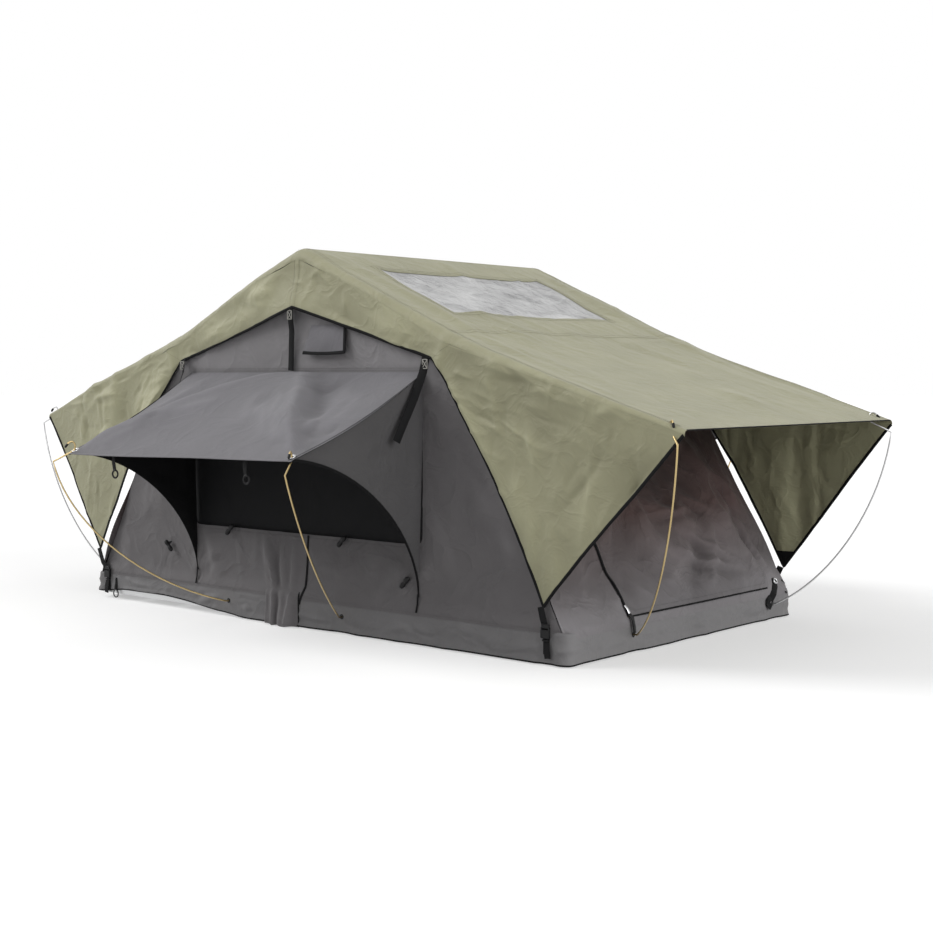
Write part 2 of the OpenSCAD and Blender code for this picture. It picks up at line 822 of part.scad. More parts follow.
// Webbing loop on the skirt that the ring hangs in
module ring_loop() {
    wire_gap = ring_wire / 2 + ring_play;
    tail = 40;
    y0 = half_width + seat;
    x0 = -ring_x - loop_width / 2;
    color(black) mirror([0, 1, 0]) lengthwise(x0, x0 + loop_width) difference() {
        union() {
            translate([y0, ring_top_z]) square([webbing, tail]);
            translate([ring_y, ring_top_z]) circle(wire_gap + webbing);
            translate([y0, ring_top_z]) square([2 * (wire_gap + webbing), wire_gap + 2 * webbing]);
        }
        translate([ring_y, ring_top_z]) circle(wire_gap);
    }
}

module hanging_ring() {
    color(alloy) translate([-ring_x, -ring_y, ring_top_z - ring_radius]) rotate([90, 0, 0])
        rotate_extrude() translate([ring_radius, 0]) circle(ring_wire / 2);
}

// A hoop standing on the pivot, along +Z to its head bar: two legs, two bends and the bar
module hoop_tube(reach) {
    leg_start = eye_r + running + seat;
    for (s = [-1, 1]) {
        translate([0, s * hoop_y, leg_start]) cylinder(h = reach - hoop_bend - leg_start, r = tube_r);
        translate([0, s * (hoop_y - hoop_bend), reach - hoop_bend]) rotate([90, 0, s * 90])
            rotate_extrude(angle = 90) translate([hoop_bend, 0]) circle(tube_r);
    }
    translate([0, hoop_bend - hoop_y, reach]) rotate([-90, 0, 0])
        cylinder(h = 2 * (hoop_y - hoop_bend), r = tube_r);
}

// End fittings of a hoop: an eye across the pin and a sleeve round the leg
module hoop_ends() {
    seat_z = eye_r + running;
    sleeve_wall = 2;
    bore = tube_r + seat / 2;
    both_sides() translate([0, hoop_y, 0]) difference() {
        union() {
            translate([0, -eye_length / 2, 0]) rotate([-90, 0, 0]) cylinder(h = eye_length, r = eye_r);
            cylinder(h = seat_z + sleeve_length, r = bore + sleeve_wall);
        }
        translate([0, -eye_length / 2 - past, 0]) rotate([-90, 0, 0])
            cylinder(h = eye_length + 2 * past, r = pin_d / 2 + pin_clearance);
        translate([0, 0, seat_z]) cylinder(h = sleeve_length + past, r = bore);
    }
}

module ridge_hoop() {
    color(alloy) translate([0, 0, pivot_z]) hoop_tube(ridge_reach);
}

module ridge_hoop_ends() {
    color(black) translate([0, 0, pivot_z]) hoop_ends();
}

module right_hoop() {
    color(alloy) translate([side_pivot_x, 0, side_pivot_z]) rotate([0, side_lean, 0]) hoop_tube(side_reach);
}

module right_hoop_ends() {
    color(black) translate([side_pivot_x, 0, side_pivot_z]) rotate([0, side_lean, 0]) hoop_ends();
}

module left_hoop() {
    color(alloy) translate([-side_pivot_x, 0, side_pivot_z]) rotate([0, -side_lean, 0]) hoop_tube(side_reach);
}

module left_hoop_ends() {
    color(black) translate([-side_pivot_x, 0, side_pivot_z]) rotate([0, -side_lean, 0]) hoop_ends();
}

// Eyelets of the fly's awnings, as places on the panel
module fly_eyelet_places() {
    for (s = [-1, 1], y = [-1, 1])
        translate([s * fly_eyelet[0], y * fly_eyelet[1], fly_eyelet_z]) rotate([0, s * awning_slope, 0])
            children();
}

// Fly: one sheet over ridge and shoulders to the awning tips, its free edges curving in
module fly_roof() {
    edge_a = [0, -fly_side];
    edge_b = [0, fly_side];
    edge_r = arc_radius(edge_a, edge_b, awning_curve);
    line = [for (x = [-tip_x, -shoulder_x, 0, shoulder_x, tip_x]) [x, fly_z(x)]];
    under = [for (i = [4 : -1 : 0]) line[i] - [0, fly_depth]];
    color(olive) difference() {
        across(-fly_side, fly_side) polygon(concat(line, under));
        for (s = [-1, 1])
            translate([s * (tip_x + edge_r - awning_curve), 0, 0])
                cylinder(h = ridge_z, r = edge_r, $fn = 96);
        translate([skylight_x0, -skylight_width / 2, shoulder_z])
            cube([skylight_x1 - skylight_x0, skylight_width, ridge_z]);
        fly_eyelet_places() cylinder(h = 4 * fabric, r = eyelet_hole, center = true);
    }
}

module skylight() {
    film = 1.5;
    sunk = 0.5;
    x0 = skylight_x0 + seat;
    x1 = skylight_x1 - seat;
    color([0.75, 0.77, 0.78, 0.6]) across(seat - skylight_width / 2, skylight_width / 2 - seat)
        polygon([[x0, fly_z(x0) - sunk], [x1, fly_z(x1) - sunk],
            [x1, fly_z(x1) - sunk - film], [x0, fly_z(x0) - sunk - film]]);
}

// Valance along a gable, from the roof's edge down to the peaked hem
module valance() {
    color(olive) across(fly_side - fabric, fly_side)
        polygon([for (x = [-hem_end_x, 0, hem_end_x]) [x, fly_z(x) - fly_depth - seat],
            each [for (x = [hem_end_x, 0, -hem_end_x]) [x, hem_line(x)]]]);
}

module near_valance() {
    mirror([0, 1, 0]) valance();
}

module far_valance() {
    valance();
}

// Wing: the fly's side from the shoulder to the awning tip, drawn down to its corner
module wing() {
    top = [hem_end_x + seat, hem_end_z];
    head = [hem_end_x + seat, fly_z(hem_end_x) - fly_depth - seat];
    bend = [shoulder_x, shoulder_z - fly_depth - seat];
    tip = [tip_x, tip_z - fly_depth - seat];
    corner = [wing_corner_x, wing_corner_z];
    outer_r = arc_radius(corner, tip, wing_curve);
    inner_r = arc_radius(top, corner, wing_curve);
    across(fly_side - fabric, fly_side) difference() {
        polygon([top, head, bend, tip, corner]);
        translate(arc_centre(corner, tip, outer_r)) circle(outer_r, $fn = 96);
        translate(arc_centre(top, corner, inner_r)) circle(inner_r, $fn = 96);
    }
}

module right_wings() {
    color(olive) both_sides() wing();
}

module left_wings() {
    color(olive) left_half() both_sides() wing();
}

// Eyelet: a rolled ring with a rim on each face of its panel, along +Z
module eyelet(panel) {
    rim = 1.2;
    rotate_extrude() translate([eyelet_bore, 0]) {
        translate([0, -panel / 2 - rim]) square([eyelet_wall, panel + 2 * rim]);
        for (z = [panel / 2, -panel / 2 - rim]) translate([0, z]) square([eyelet_rim - eyelet_bore, rim]);
    }
}

module fly_eyelets() {
    panel = fly_depth * cos(awning_slope);
    color(alloy) fly_eyelet_places() translate([0, 0, -panel / 2]) eyelet(panel + seat);
}

// Webbing straps that hang from the hem: one at the peak and one at each shoulder
module fly_straps() {
    y0 = gable_out + seat;
    w = webbing_width / 2;
    drop = 235;
    lean = 60;
    lap = 20;
    color(black) both_sides() across(y0, y0 + webbing) {
        translate([-w, hood_seam_z + fabric + seat]) square([2 * w, hem_peak_z - hood_seam_z]);
        for (s = [-1, 1])
            polygon([[s * (hood_x + seat), hem_end_z - lean], [s * (hood_x + seat), hem_end_z - drop],
                [s * (hood_x + 2 * w), hem_end_z - drop], [s * (hood_x + lean), hem_end_z + lap],
                [s * (hood_x + lean - w), hem_end_z + lap]]);
    }
}

// Roof of the canvas body, on the hoops
module inner_roof() {
    x = inner_shoulder_x;
    color(canvas) across(seat - gable_in, gable_in - seat)
        polygon([[-x, inner_shoulder_z], [0, inner_ridge_z], [x, inner_shoulder_z],
            [x, inner_shoulder_z - inner_depth], [0, inner_ridge_z - inner_depth],
            [-x, inner_shoulder_z - inner_depth]]);
}

// Gable wall with its window
module gable() {
    color(canvas) across(gable_in, gable_out) difference() {
        polygon([[-wall_foot_x, wall_foot_z], [-inner_shoulder_x, inner_shoulder_z], [0, inner_ridge_z],
            [inner_shoulder_x, inner_shoulder_z], [wall_foot_x, wall_foot_z]]);
        translate([-window_width / 2, window_sill]) square([window_width, window_head - window_sill]);
    }
}

module near_gable() {
    mirror([0, 1, 0]) gable();
}

module far_gable() {
    gable();
}

module window_meshes() {
    mesh = 1.5;
    middle = (gable_in + gable_out) / 2;
    color(black) both_sides() across(middle - mesh / 2, middle + mesh / 2)
        translate([seat - window_width / 2, window_sill + seat])
            square([window_width - 2 * seat, window_head - window_sill - 2 * seat]);
}

// Sloping end wall, as a sheet from its foot on the frame to the shoulder
module on_end_wall() {
    translate([wall_foot_x, 0, wall_foot_z]) rotate([0, -wall_lean, 0]) children();
}

module end_wall() {
    foot_cut = fabric * tan(wall_lean);
    color(canvas) on_end_wall() across(seat - gable_in, gable_in - seat)
        polygon([[0, 0], [0, wall_length], [-fabric, wall_length], [-fabric, foot_cut]]);
}

module right_end_wall() {
    end_wall();
}

module left_end_wall() {
    left_half() end_wall();
}

// Zipped door on the outside of the end wall
module door() {
    foot = 40;
    panel = 2;
    r = door_corner;
    color(canvas) on_end_wall() translate([seat, 0, 0]) lengthwise(0, panel) union() {
        translate([-door_near, foot]) square([door_near + door_far, door_height - r]);
        translate([r - door_near, foot]) square([door_near + door_far - 2 * r, door_height]);
        for (y = [r - door_near, door_far - r]) translate([y, foot + door_height - r]) circle(r);
    }
}

module right_door() {
    door();
}

module left_door() {
    left_half() door();
}

// Window hood: a sloping top with two side panels cut away in a quarter sweep, and its eyelets
module hood() {
    top_depth = fabric / cos(hood_slope);
    y0 = hood_wall_y;
    seam = [y0, hood_seam_z];
    edge = [y0 + hood_reach, hood_seam_z - hood_fall];
    foot = [y0, hood_foot_z];
    sweep = 0.72;
    sweep_r = norm(edge - foot) * sweep;
    color(canvas) difference() {
        union() {
            lengthwise(-hood_x, hood_x)
                polygon([seam, edge, edge - [0, top_depth], seam - [0, top_depth]]);
            for (x = [-hood_x, hood_x - fabric]) lengthwise(x, x + fabric) difference() {
                polygon([seam - [0, top_depth / 2], edge - [0, top_depth / 2], foot]);
                translate(arc_centre(foot, edge, sweep_r)) circle(sweep_r, $fn = 96);
            }
        }
        hood_eyelet_places() cylinder(h = 4 * fabric, r = eyelet_hole, center = true);
    }
    color(alloy) hood_eyelet_places() translate([0, 0, -fabric / 2]) eyelet(fabric + seat);
}

module hood_eyelet_places() {
    for (s = [-1, 1])
        translate([s * hood_eyelet[0], hood_wall_y + hood_eyelet[1], hood_eyelet_z])
            rotate([-hood_slope, 0, 0]) children();
}

module near_hood() {
    mirror([0, 1, 0]) hood();
}

module far_hood() {
    hood();
}

// Vent hood near the peak, propped open from its top seam
module vent() {
    panel = 2;
    slant = 30;
    color(canvas) translate([0, gable_out + seat, vent_top_z]) rotate([vent_tilt, 0, 0])
        across(0, panel) polygon([[vent_offset, 0], [vent_offset - slant, -vent_height],
            [vent_offset + vent_width, -vent_height], [vent_offset + vent_width - slant, 0]]);
}

module near_vent() {
    mirror([0, 1, 0]) vent();
}

module far_vent() {
    left_half() near_vent();
}

fixed_frame();
fixed_floor_panel();
fixed_mattress();
fixed_skirt();
near_mounting_rail();
far_mounting_rail();
rail_end_caps();
rail_bolts();
fixed_hinge_plates();
fixed_plate_bolts();
main_hinge_pins();
right_hoop_pins();
fixed_rod_sockets();
right_end_rods();
right_window_rods();
right_rod_caps();
right_corner_buckles();
folding_frame();
folding_floor_panel();
folding_mattress();
folding_skirt();
hinge_flaps();
folding_hinge_plates();
folding_plate_bolts();
left_hoop_pins();
left_hoop_spacers();
folding_rod_sockets();
left_end_rods();
left_window_rods();
left_rod_caps();
left_corner_buckles();
ring_loop();
hanging_ring();
ridge_hoop();
ridge_hoop_ends();
right_hoop();
right_hoop_ends();
left_hoop();
left_hoop_ends();
fly_roof();
near_valance();
far_valance();
right_wings();
left_wings();
skylight();
fly_eyelets();
fly_straps();
inner_roof();
near_gable();
far_gable();
right_end_wall();
left_end_wall();
right_door();
left_door();
window_meshes();
near_hood();
far_hood();
near_vent();
far_vent();
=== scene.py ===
"""Looks of an open soft-shell roof top tent: sewn cloth, webbing, sprung rods, finishes and a plain studio.

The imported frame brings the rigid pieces, the bodies and the joints. This script lays the cloth over them
in metres and in the frame's own axes: X across the hinge, Y along it and Z up.
"""

import logging
import math
from dataclasses import dataclass, field
from enum import Enum
from typing import Any, Optional, Sequence

import bpy
import numpy as np
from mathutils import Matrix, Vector, geometry


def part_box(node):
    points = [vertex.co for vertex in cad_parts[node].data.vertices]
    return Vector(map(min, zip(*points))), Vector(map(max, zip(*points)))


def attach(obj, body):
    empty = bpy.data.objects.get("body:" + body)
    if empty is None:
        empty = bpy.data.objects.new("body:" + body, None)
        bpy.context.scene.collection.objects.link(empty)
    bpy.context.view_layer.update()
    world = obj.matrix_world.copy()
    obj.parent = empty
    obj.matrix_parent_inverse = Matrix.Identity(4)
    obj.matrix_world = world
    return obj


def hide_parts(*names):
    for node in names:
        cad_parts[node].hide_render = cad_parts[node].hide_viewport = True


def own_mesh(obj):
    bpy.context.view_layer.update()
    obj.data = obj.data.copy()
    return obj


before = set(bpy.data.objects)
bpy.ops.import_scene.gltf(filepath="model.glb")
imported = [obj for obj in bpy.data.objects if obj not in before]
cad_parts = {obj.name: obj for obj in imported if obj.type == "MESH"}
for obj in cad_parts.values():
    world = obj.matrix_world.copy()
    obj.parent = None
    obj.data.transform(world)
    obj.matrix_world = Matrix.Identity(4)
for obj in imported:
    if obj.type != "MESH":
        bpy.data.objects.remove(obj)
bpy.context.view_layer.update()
LOG = logging.getLogger("roof_top_tent")

Array = np.ndarray
Material = bpy.types.Material
Object = bpy.types.Object
Faces = list[tuple[int, ...]]
Corners = tuple[tuple[float, float], tuple[float, float]]


class Side(Enum):
    """A gable side of the tent, as a sign along Y."""

    NEAR = -1
    FAR = 1

    @property
    def label(self) -> str:
        """The side's name as the frame writes it."""
        return self.name.lower()


class Half(Enum):
    """A half of the base, as a sign along X."""

    FIXED = 1
    FOLDING = -1

    @property
    def label(self) -> str:
        """The hand of the pieces on this half."""
        return "right" if self is Half.FIXED else "left"

    @property
    def body(self) -> str:
        """The body that carries this half."""
        return f"{self.name.lower()}_base"


@dataclass(frozen=True)
class WingCorner:
    """Where a wing's lower corner is drawn to: along X, up, and out from the tent's side."""

    x: float
    z: float
    flare: float


WING_CORNERS: dict[tuple[Side, Half], WingCorner] = {
    (Side.NEAR, Half.FIXED): WingCorner(1.118, 0.178, 0.0),
    (Side.NEAR, Half.FOLDING): WingCorner(1.195, 0.198, 0.004),
    (Side.FAR, Half.FIXED): WingCorner(1.16, 0.172, 0.03),
    (Side.FAR, Half.FOLDING): WingCorner(1.15, 0.18, 0.02),
}


# Pleats beside the gables' slit: place along X, height, half width and lean.
PLEATS: tuple[tuple[float, float, float, float], ...] = (
    (-0.165, 0.008, 0.014, -0.05), (-0.128, 0.016, 0.01, -0.2), (-0.108, -0.008, 0.01, -0.14),
    (-0.074, 0.013, 0.016, -0.1), (-0.03, 0.018, 0.012, 0.06),
)

# Most painted light and shade that the folds add to a cloth's tone, and the turn in degrees from which an
# edge stays sharp.
PAINTED_SHADING_LIMIT = 0.6
SHARP_EDGE = 50.0


class Noise:
    """Seeded smooth noise over a plane, between about -1 and 1."""

    SIZE = 128

    def __init__(self, seed: int) -> None:
        """Draws the lattice from a seed."""
        self.lattice = np.random.default_rng(seed).uniform(-1.0, 1.0, (self.SIZE, self.SIZE))

    def soft(self, u: Array, v: Array) -> Array:
        """Soft swells.

        Args:
            u: First coordinate, in swells.
            v: Second coordinate, in swells.

        Returns:
            The noise at each point.
        """
        u, v = np.broadcast_arrays(np.asarray(u, float), np.asarray(v, float))
        iu, iv = np.floor(u).astype(int), np.floor(v).astype(int)
        fu, fv = u - iu, v - iv
        su, sv = (f * f * f * (f * (f * 6 - 15) + 10) for f in (fu, fv))
        n = self.SIZE
        low = self.lattice[iu % n, iv % n] * (1 - su) + self.lattice[(iu + 1) % n, iv % n] * su
        high = self.lattice[iu % n, (iv + 1) % n] * (1 - su) + self.lattice[(iu + 1) % n, (iv + 1) % n] * su
        return low * (1 - sv) + high * sv


@dataclass(frozen=True)
class FoldStyle:
    """One kind of fold: how many, and the ranges of their sizes in metres.

    The heading is in radians from the panel's first axis, with a spread about it. The bend is the share of
    a fold's length by which it may bow.
    """

    count: int
    length: tuple[float, float]
    width: tuple[float, float]
    height: tuple[float, float]
    heading: float = 0.0
    spread: float = 0.4
    bend: float = 0.25


class Folds:
    """Seeded folds on a flat panel: bowed ridges and valleys, each with a steep and a soft side."""

    def __init__(self, seed: int) -> None:
        """Starts without folds; the seed fixes where they are scattered."""
        self.random = np.random.default_rng(seed)
        self.rows: list[tuple[float, ...]] = []

    def add(self, place: Sequence[float], turn: float, length: float, width: float, height: float,
            bend: float = 0.0) -> "Folds":
        """Adds a fold: middle, heading, length, half width, height (a valley's is below 0) and bow."""
        self.rows.append((*place, turn, length, width, height, bend))
        return self

    def scatter(self, style: FoldStyle, low: Sequence[float], high: Sequence[float],
            aim: Optional[Sequence[float]] = None) -> "Folds":
        """Spreads folds over a rectangle.

        Args:
            style: Their kind.
            low: Lowest corner of the rectangle.
            high: Highest corner of the rectangle.
            aim: Point that they head for, if they don't keep the style's own heading.

        Returns:
            These folds.
        """
        for _ in range(style.count):
            u, v = self.random.uniform(low, high)
            turn = style.heading if aim is None else math.atan2(aim[1] - v, aim[0] - u)
            turn += self.random.normal(0, style.spread)
            ranges = (style.length, style.width, style.height)
            length, width, height = (self.random.uniform(*span) for span in ranges)
            sign = 1.0 if self.random.random() < 0.7 else -0.8
            self.add((u, v), turn, length, width, sign * height, self.random.uniform(-style.bend, style.bend))
        return self

    def height(self, u: Array, v: Array) -> Array:
        """Height of the folded cloth.

        Args:
            u: First coordinates on the panel.
            v: Second coordinates on the panel.

        Returns:
            Heights in metres.
        """
        u, v = np.broadcast_arrays(np.asarray(u, float), np.asarray(v, float))
        total = np.zeros(u.shape)
        for cu, cv, turn, length, width, tall, bend in self.rows:
            reach = 0.5 * length + 5 * width
            near = (np.abs(u - cu) < reach) & (np.abs(v - cv) < reach)
            du, dv = u[near] - cu, v[near] - cv
            along = (du * math.cos(turn) + dv * math.sin(turn)) * 2 / length
            across = (dv * math.cos(turn) - du * math.sin(turn) - 0.5 * bend * length * along ** 2) / width
            crest = (1 + 0.5 * np.tanh(1.5 * across)) / np.cosh(np.clip(across, -20, 20))
            total[near] += tall * np.clip(1 - along ** 2, 0, 1) ** 2 * crest
        return total


def ramp(value: Array, low: float, high: float) -> Array:
    """Smooth step from 0 at low to 1 at high."""
    t = np.clip((np.asarray(value, float) - low) / (high - low), 0.0, 1.0)
    return t * t * (3 - 2 * t)


def bump(value: Array, centre: float, width: float) -> Array:
    """Bell of height 1 round a centre."""
    return np.exp(-(((np.asarray(value, float) - centre) / width) ** 2))


def line(*points: Sequence[float]) -> Array:
    """Points as an array of floats."""
    return np.array(points, float)


def stations(*spans: Sequence[float]) -> Array:
    """Stations through spans, each given as a start, an end and a count, without repeats."""
    return np.unique(np.concatenate([np.linspace(*span) for span in spans]))


def lattice(across: Sequence[float], along: Sequence[float]) -> Sequence[Array]:
    """Crossed stations, each row of them given as a start, an end and a count."""
    return np.meshgrid(np.linspace(*across), np.linspace(*along), indexing="ij")


def half_area(way: int, x0: float, x1: float, v0: float, v1: float) -> Corners:
    """Lowest and highest corner of a rectangle on the half that a sign along X names."""
    low, high = sorted((way * x0, way * x1))
    return (low, v0), (high, v1)


def ring_faces(rings: int, sides: int) -> Faces:
    """Faces of a closed solid made of stacked rings of points.

    Args:
        rings: Number of rings.
        sides: Points in each ring.

    Returns:
        The faces between the rings and the two ends.
    """
    faces: Faces = []
    for i in range(rings - 1):
        for j in range(sides):
            k = (j + 1) % sides
            faces.append((i * sides + j, i * sides + k, (i + 1) * sides + k, (i + 1) * sides + j))
    faces.append(tuple(reversed(range(sides))))
    faces.append(tuple((rings - 1) * sides + j for j in range(sides)))
    return faces


def resampled(path: Array, step: float) -> Array:
    """Adds points along a path so that none are further apart than a step.

    Args:
        path: Points in two or three axes.
        step: Longest distance between points.

    Returns:
        The path with its own points kept.
    """
    out = [path[:1]]
    for a, b in zip(path[:-1], path[1:]):
        n = max(1, math.ceil(np.linalg.norm(b - a) / step))
        out.append(a + (b - a) * (np.arange(1, n + 1) / n)[:, None])
    return np.concatenate(out)


def rounded(corners: Array, radius: float, steps: int = 6) -> Array:
    """Rounds the corners of a closed outline.

    Args:
        corners: Corner points in two axes.
        radius: Length cut back along each side.
        steps: Points along each rounding.

    Returns:
        The outline's points, without the first repeated.
    """
    out = []
    for i, corner in enumerate(corners):
        before, after = corners[i - 1] - corner, corners[(i + 1) % len(corners)] - corner
        a = corner + before / np.linalg.norm(before) * radius
        b = corner + after / np.linalg.norm(after) * radius
        for t in np.linspace(0, 1, steps):
            out.append((1 - t) ** 2 * a + 2 * t * (1 - t) * corner + t * t * b)
    return np.array(out)


@dataclass
class Shell:
    """Points, faces, a flat map in metres and, for folded cloth, its painted shading (painted light on
    crests, painted shade in valleys), that become a piece.
    """

    points: Array
    faces: Faces
    uv: Array
    # Painted light and shade: crests lighter, valleys darker, and some sides painted lighter or darker.
    shade: Optional[Array] = None

    def triangles(self) -> Array:
        """The faces cut into triangles."""
        return np.array([(f[0], f[i], f[i + 1]) for f in self.faces for i in range(1, len(f) - 1)])

    def area(self) -> float:
        """Area of the faces in square metres."""
        a, b, c = (self.points[self.triangles()[:, i]] for i in range(3))
        return float(np.linalg.norm(np.cross(b - a, c - a), axis=1).sum() / 2)

    def normals(self) -> Array:
        """Unit normals at the points.

        Returns:
            One normal for each point.
        """
        corners = self.triangles()
        a, b, c = (self.points[corners[:, i]] for i in range(3))
        across = np.cross(b - a, c - a)
        total = np.zeros_like(self.points)
        for i in range(3):
            np.add.at(total, corners[:, i], across)
        return total / np.maximum(np.linalg.norm(total, axis=1, keepdims=True), 1e-12)

    def turned(self) -> "Shell":
        """The shell turned half a turn about Z."""
        return Shell(self.points * line(-1, -1, 1), self.faces, self.uv, self.shade)

    def flipped(self) -> "Shell":
        """The shell with its faces turned over."""
        return Shell(self.points, [tuple(reversed(f)) for f in self.faces], self.uv, self.shade)

    def facing(self, way: Sequence[float]) -> "Shell":
        """The shell, turned over if it looks away from a direction."""
        return self if self.normals().mean(axis=0) @ line(*way) >= 0 else self.flipped()

    def mirrored(self, axis: int) -> "Shell":
        """The shell mirrored in one axis, with its faces outwards.

        Args:
            axis: Number of the axis.

        Returns:
            The mirrored shell.
        """
        sign = np.ones(3)
        sign[axis] = -1
        return Shell(self.points * sign, self.faces, self.uv, self.shade).flipped()


def woven(grid: Array, uv: Optional[Array] = None, hole: Optional[Array] = None) -> Shell:
    """Makes a shell from rows and columns of points.

    Args:
        grid: Points as rows x columns x 3.
        uv: Flat map as rows x columns x 2; lengths along the grid when left out.
        hole: True for each cell that is left open.

    Returns:
        The shell.
    """
    rows, columns = grid.shape[:2]
    if uv is None:
        along = np.cumsum(np.linalg.norm(np.diff(grid, axis=0, prepend=grid[:1]), axis=2), axis=0)
        across = np.cumsum(np.linalg.norm(np.diff(grid, axis=1, prepend=grid[:, :1]), axis=2), axis=1)
        uv = np.stack([across, along], axis=2)
    index = np.arange(rows * columns).reshape(rows, columns)
    cells = np.stack([index[:-1, :-1], index[:-1, 1:], index[1:, 1:], index[1:, :-1]], axis=2)
    if hole is not None:
        cells = cells[~hole]
    cells = cells.reshape(-1, 4)
    return Shell(grid.reshape(-1, 3), [tuple(int(i) for i in c) for c in cells], uv.reshape(-1, 2))


def within(points: Array, loops: Sequence[Array]) -> Array:
    """Tests which points lie inside closed loops, with holes by the even-odd rule.

    Args:
        points: Points in two axes.
        loops: Closed outlines in the same axes.

    Returns:
        One True or False for each point.
    """
    x, y = points[:, 0], points[:, 1]
    inside = np.zeros(len(points), bool)
    for loop in loops:
        for (ax, ay), (bx, by) in zip(loop, np.roll(loop, -1, axis=0)):
            if ay != by:
                inside ^= ((ay > y) != (by > y)) & (x < ax + (y - ay) * (bx - ax) / (by - ay))
    return inside


def pattern(outline: Array, step: float, holes: Sequence[Array] = ()) -> tuple[Array, Faces]:
    """Fills a flat outline with evenly spread points and triangles.

    Args:
        outline: Closed outline in two axes, anticlockwise.
        step: Distance between points.
        holes: Outlines of openings.

    Returns:
        The flat points and the triangles between them.
    """
    rims = [resampled(np.vstack([loop, loop[:1]]), step)[:-1] for loop in (outline, *holes)]
    low, high = outline.min(axis=0), outline.max(axis=0)
    rows = np.arange(low[1], high[1], step * 0.866)
    columns = [np.arange(low[0] + (i % 2) * step / 2, high[0], step) for i in range(len(rows))]
    spots = np.concatenate([np.column_stack([x, np.full(len(x), row)]) for x, row in zip(columns, rows)])
    rim = np.concatenate(rims)
    spots = spots[within(spots, rims)]
    clear = np.ones(len(spots), bool)
    for part in np.array_split(np.arange(len(spots)), max(1, len(spots) // 2000)):
        gap = np.linalg.norm(spots[part][:, None] - rim[None], axis=2).min(axis=1)
        clear[part] = gap > 0.6 * step
    flat = np.concatenate([rim, spots[clear]])
    edges, start = [], 0
    for loop in rims:
        n = len(loop)
        edges += [(start + i, start + (i + 1) % n) for i in range(n)]
        start += n
    verts, _, faces, *_ = geometry.delaunay_2d_cdt([Vector(p) for p in flat], edges, [], 0, 1e-7)
    points = np.array([tuple(v) for v in verts])
    faces = [tuple(f) for f in faces]
    middles = np.array([points[list(f)].mean(axis=0) for f in faces])
    keep = within(middles, rims)
    faces = [f for f, k in zip(faces, keep) if k]
    used = np.unique([i for f in faces for i in f])
    place = {int(old): new for new, old in enumerate(used)}
    faces = [tuple(place[i] for i in f) for f in faces]
    return points[used], faces


def swept(path: Array, section: Array, up: Array) -> Shell:
    """Sweeps a closed section along a path and closes both ends.

    Args:
        path: Points along the sweep.
        section: Section's points as (across, up), anticlockwise.
        up: One vector, or one for each point, that the section's up follows.

    Returns:
        The closed shell.
    """
    tangent = np.gradient(path, axis=0)
    tangent /= np.linalg.norm(tangent, axis=1, keepdims=True)
    up = np.broadcast_to(np.asarray(up, float), path.shape)
    across = np.cross(tangent, up)
    across /= np.maximum(np.linalg.norm(across, axis=1, keepdims=True), 1e-9)
    lift = np.cross(across, tangent)
    points = path[:, None] + section[None, :, :1] * across[:, None] + section[None, :, 1:] * lift[:, None]
    run = np.concatenate([[0], np.cumsum(np.linalg.norm(np.diff(path, axis=0), axis=1))])
    girth = np.concatenate([[0], np.cumsum(np.linalg.norm(np.diff(section, axis=0), axis=1))])
    uv = np.stack(np.broadcast_arrays(run[:, None], girth[None, :]), axis=2).reshape(-1, 2)
    return Shell(points.reshape(-1, 3), ring_faces(len(path), len(section)), uv)


def ribbon(path: Array, width: float, thickness: float, up: Array, shift: float = 0.0) -> Shell:
    """A flat tape along a path, lying square to up.

    Args:
        path: Points along the tape's middle.
        width: Width of the tape.
        thickness: Thickness of the tape.
        up: Vector, or one for each point, that the tape's face looks along.
        shift: Sideways offset of the tape from the path.

    Returns:
        The tape.
    """
    w, t = width / 2, thickness / 2
    below = line((-w, -t * 0.4), (-w + t, -t), (w - t, -t), (w, -t * 0.4))
    return swept(path, np.concatenate([below, -below]) + line(shift, 0), up)


def tube(path: Array, radius: float, up: Array, sides: int = 10) -> Shell:
    """A round bar along a path; up is any direction that the path never takes."""
    turn = np.linspace(0, 2 * math.pi, sides, endpoint=False)
    return swept(path, np.stack([np.cos(turn), np.sin(turn)], axis=1) * radius, up)


def spindle(path: Array, radii: Array, up: Array, sides: int) -> Shell:
    """A round bar with its own radius at each point of its path.

    Args:
        path: Points along the bar's middle.
        radii: Radius at each point.
        up: Vector that is nowhere along the path.
        sides: Number of sides.

    Returns:
        The bar.
    """
    bar = tube(path, 1.0, up, sides)
    middle = np.repeat(path, sides, axis=0)
    return Shell(middle + (bar.points - middle) * np.repeat(radii, sides)[:, None], bar.faces, bar.uv)


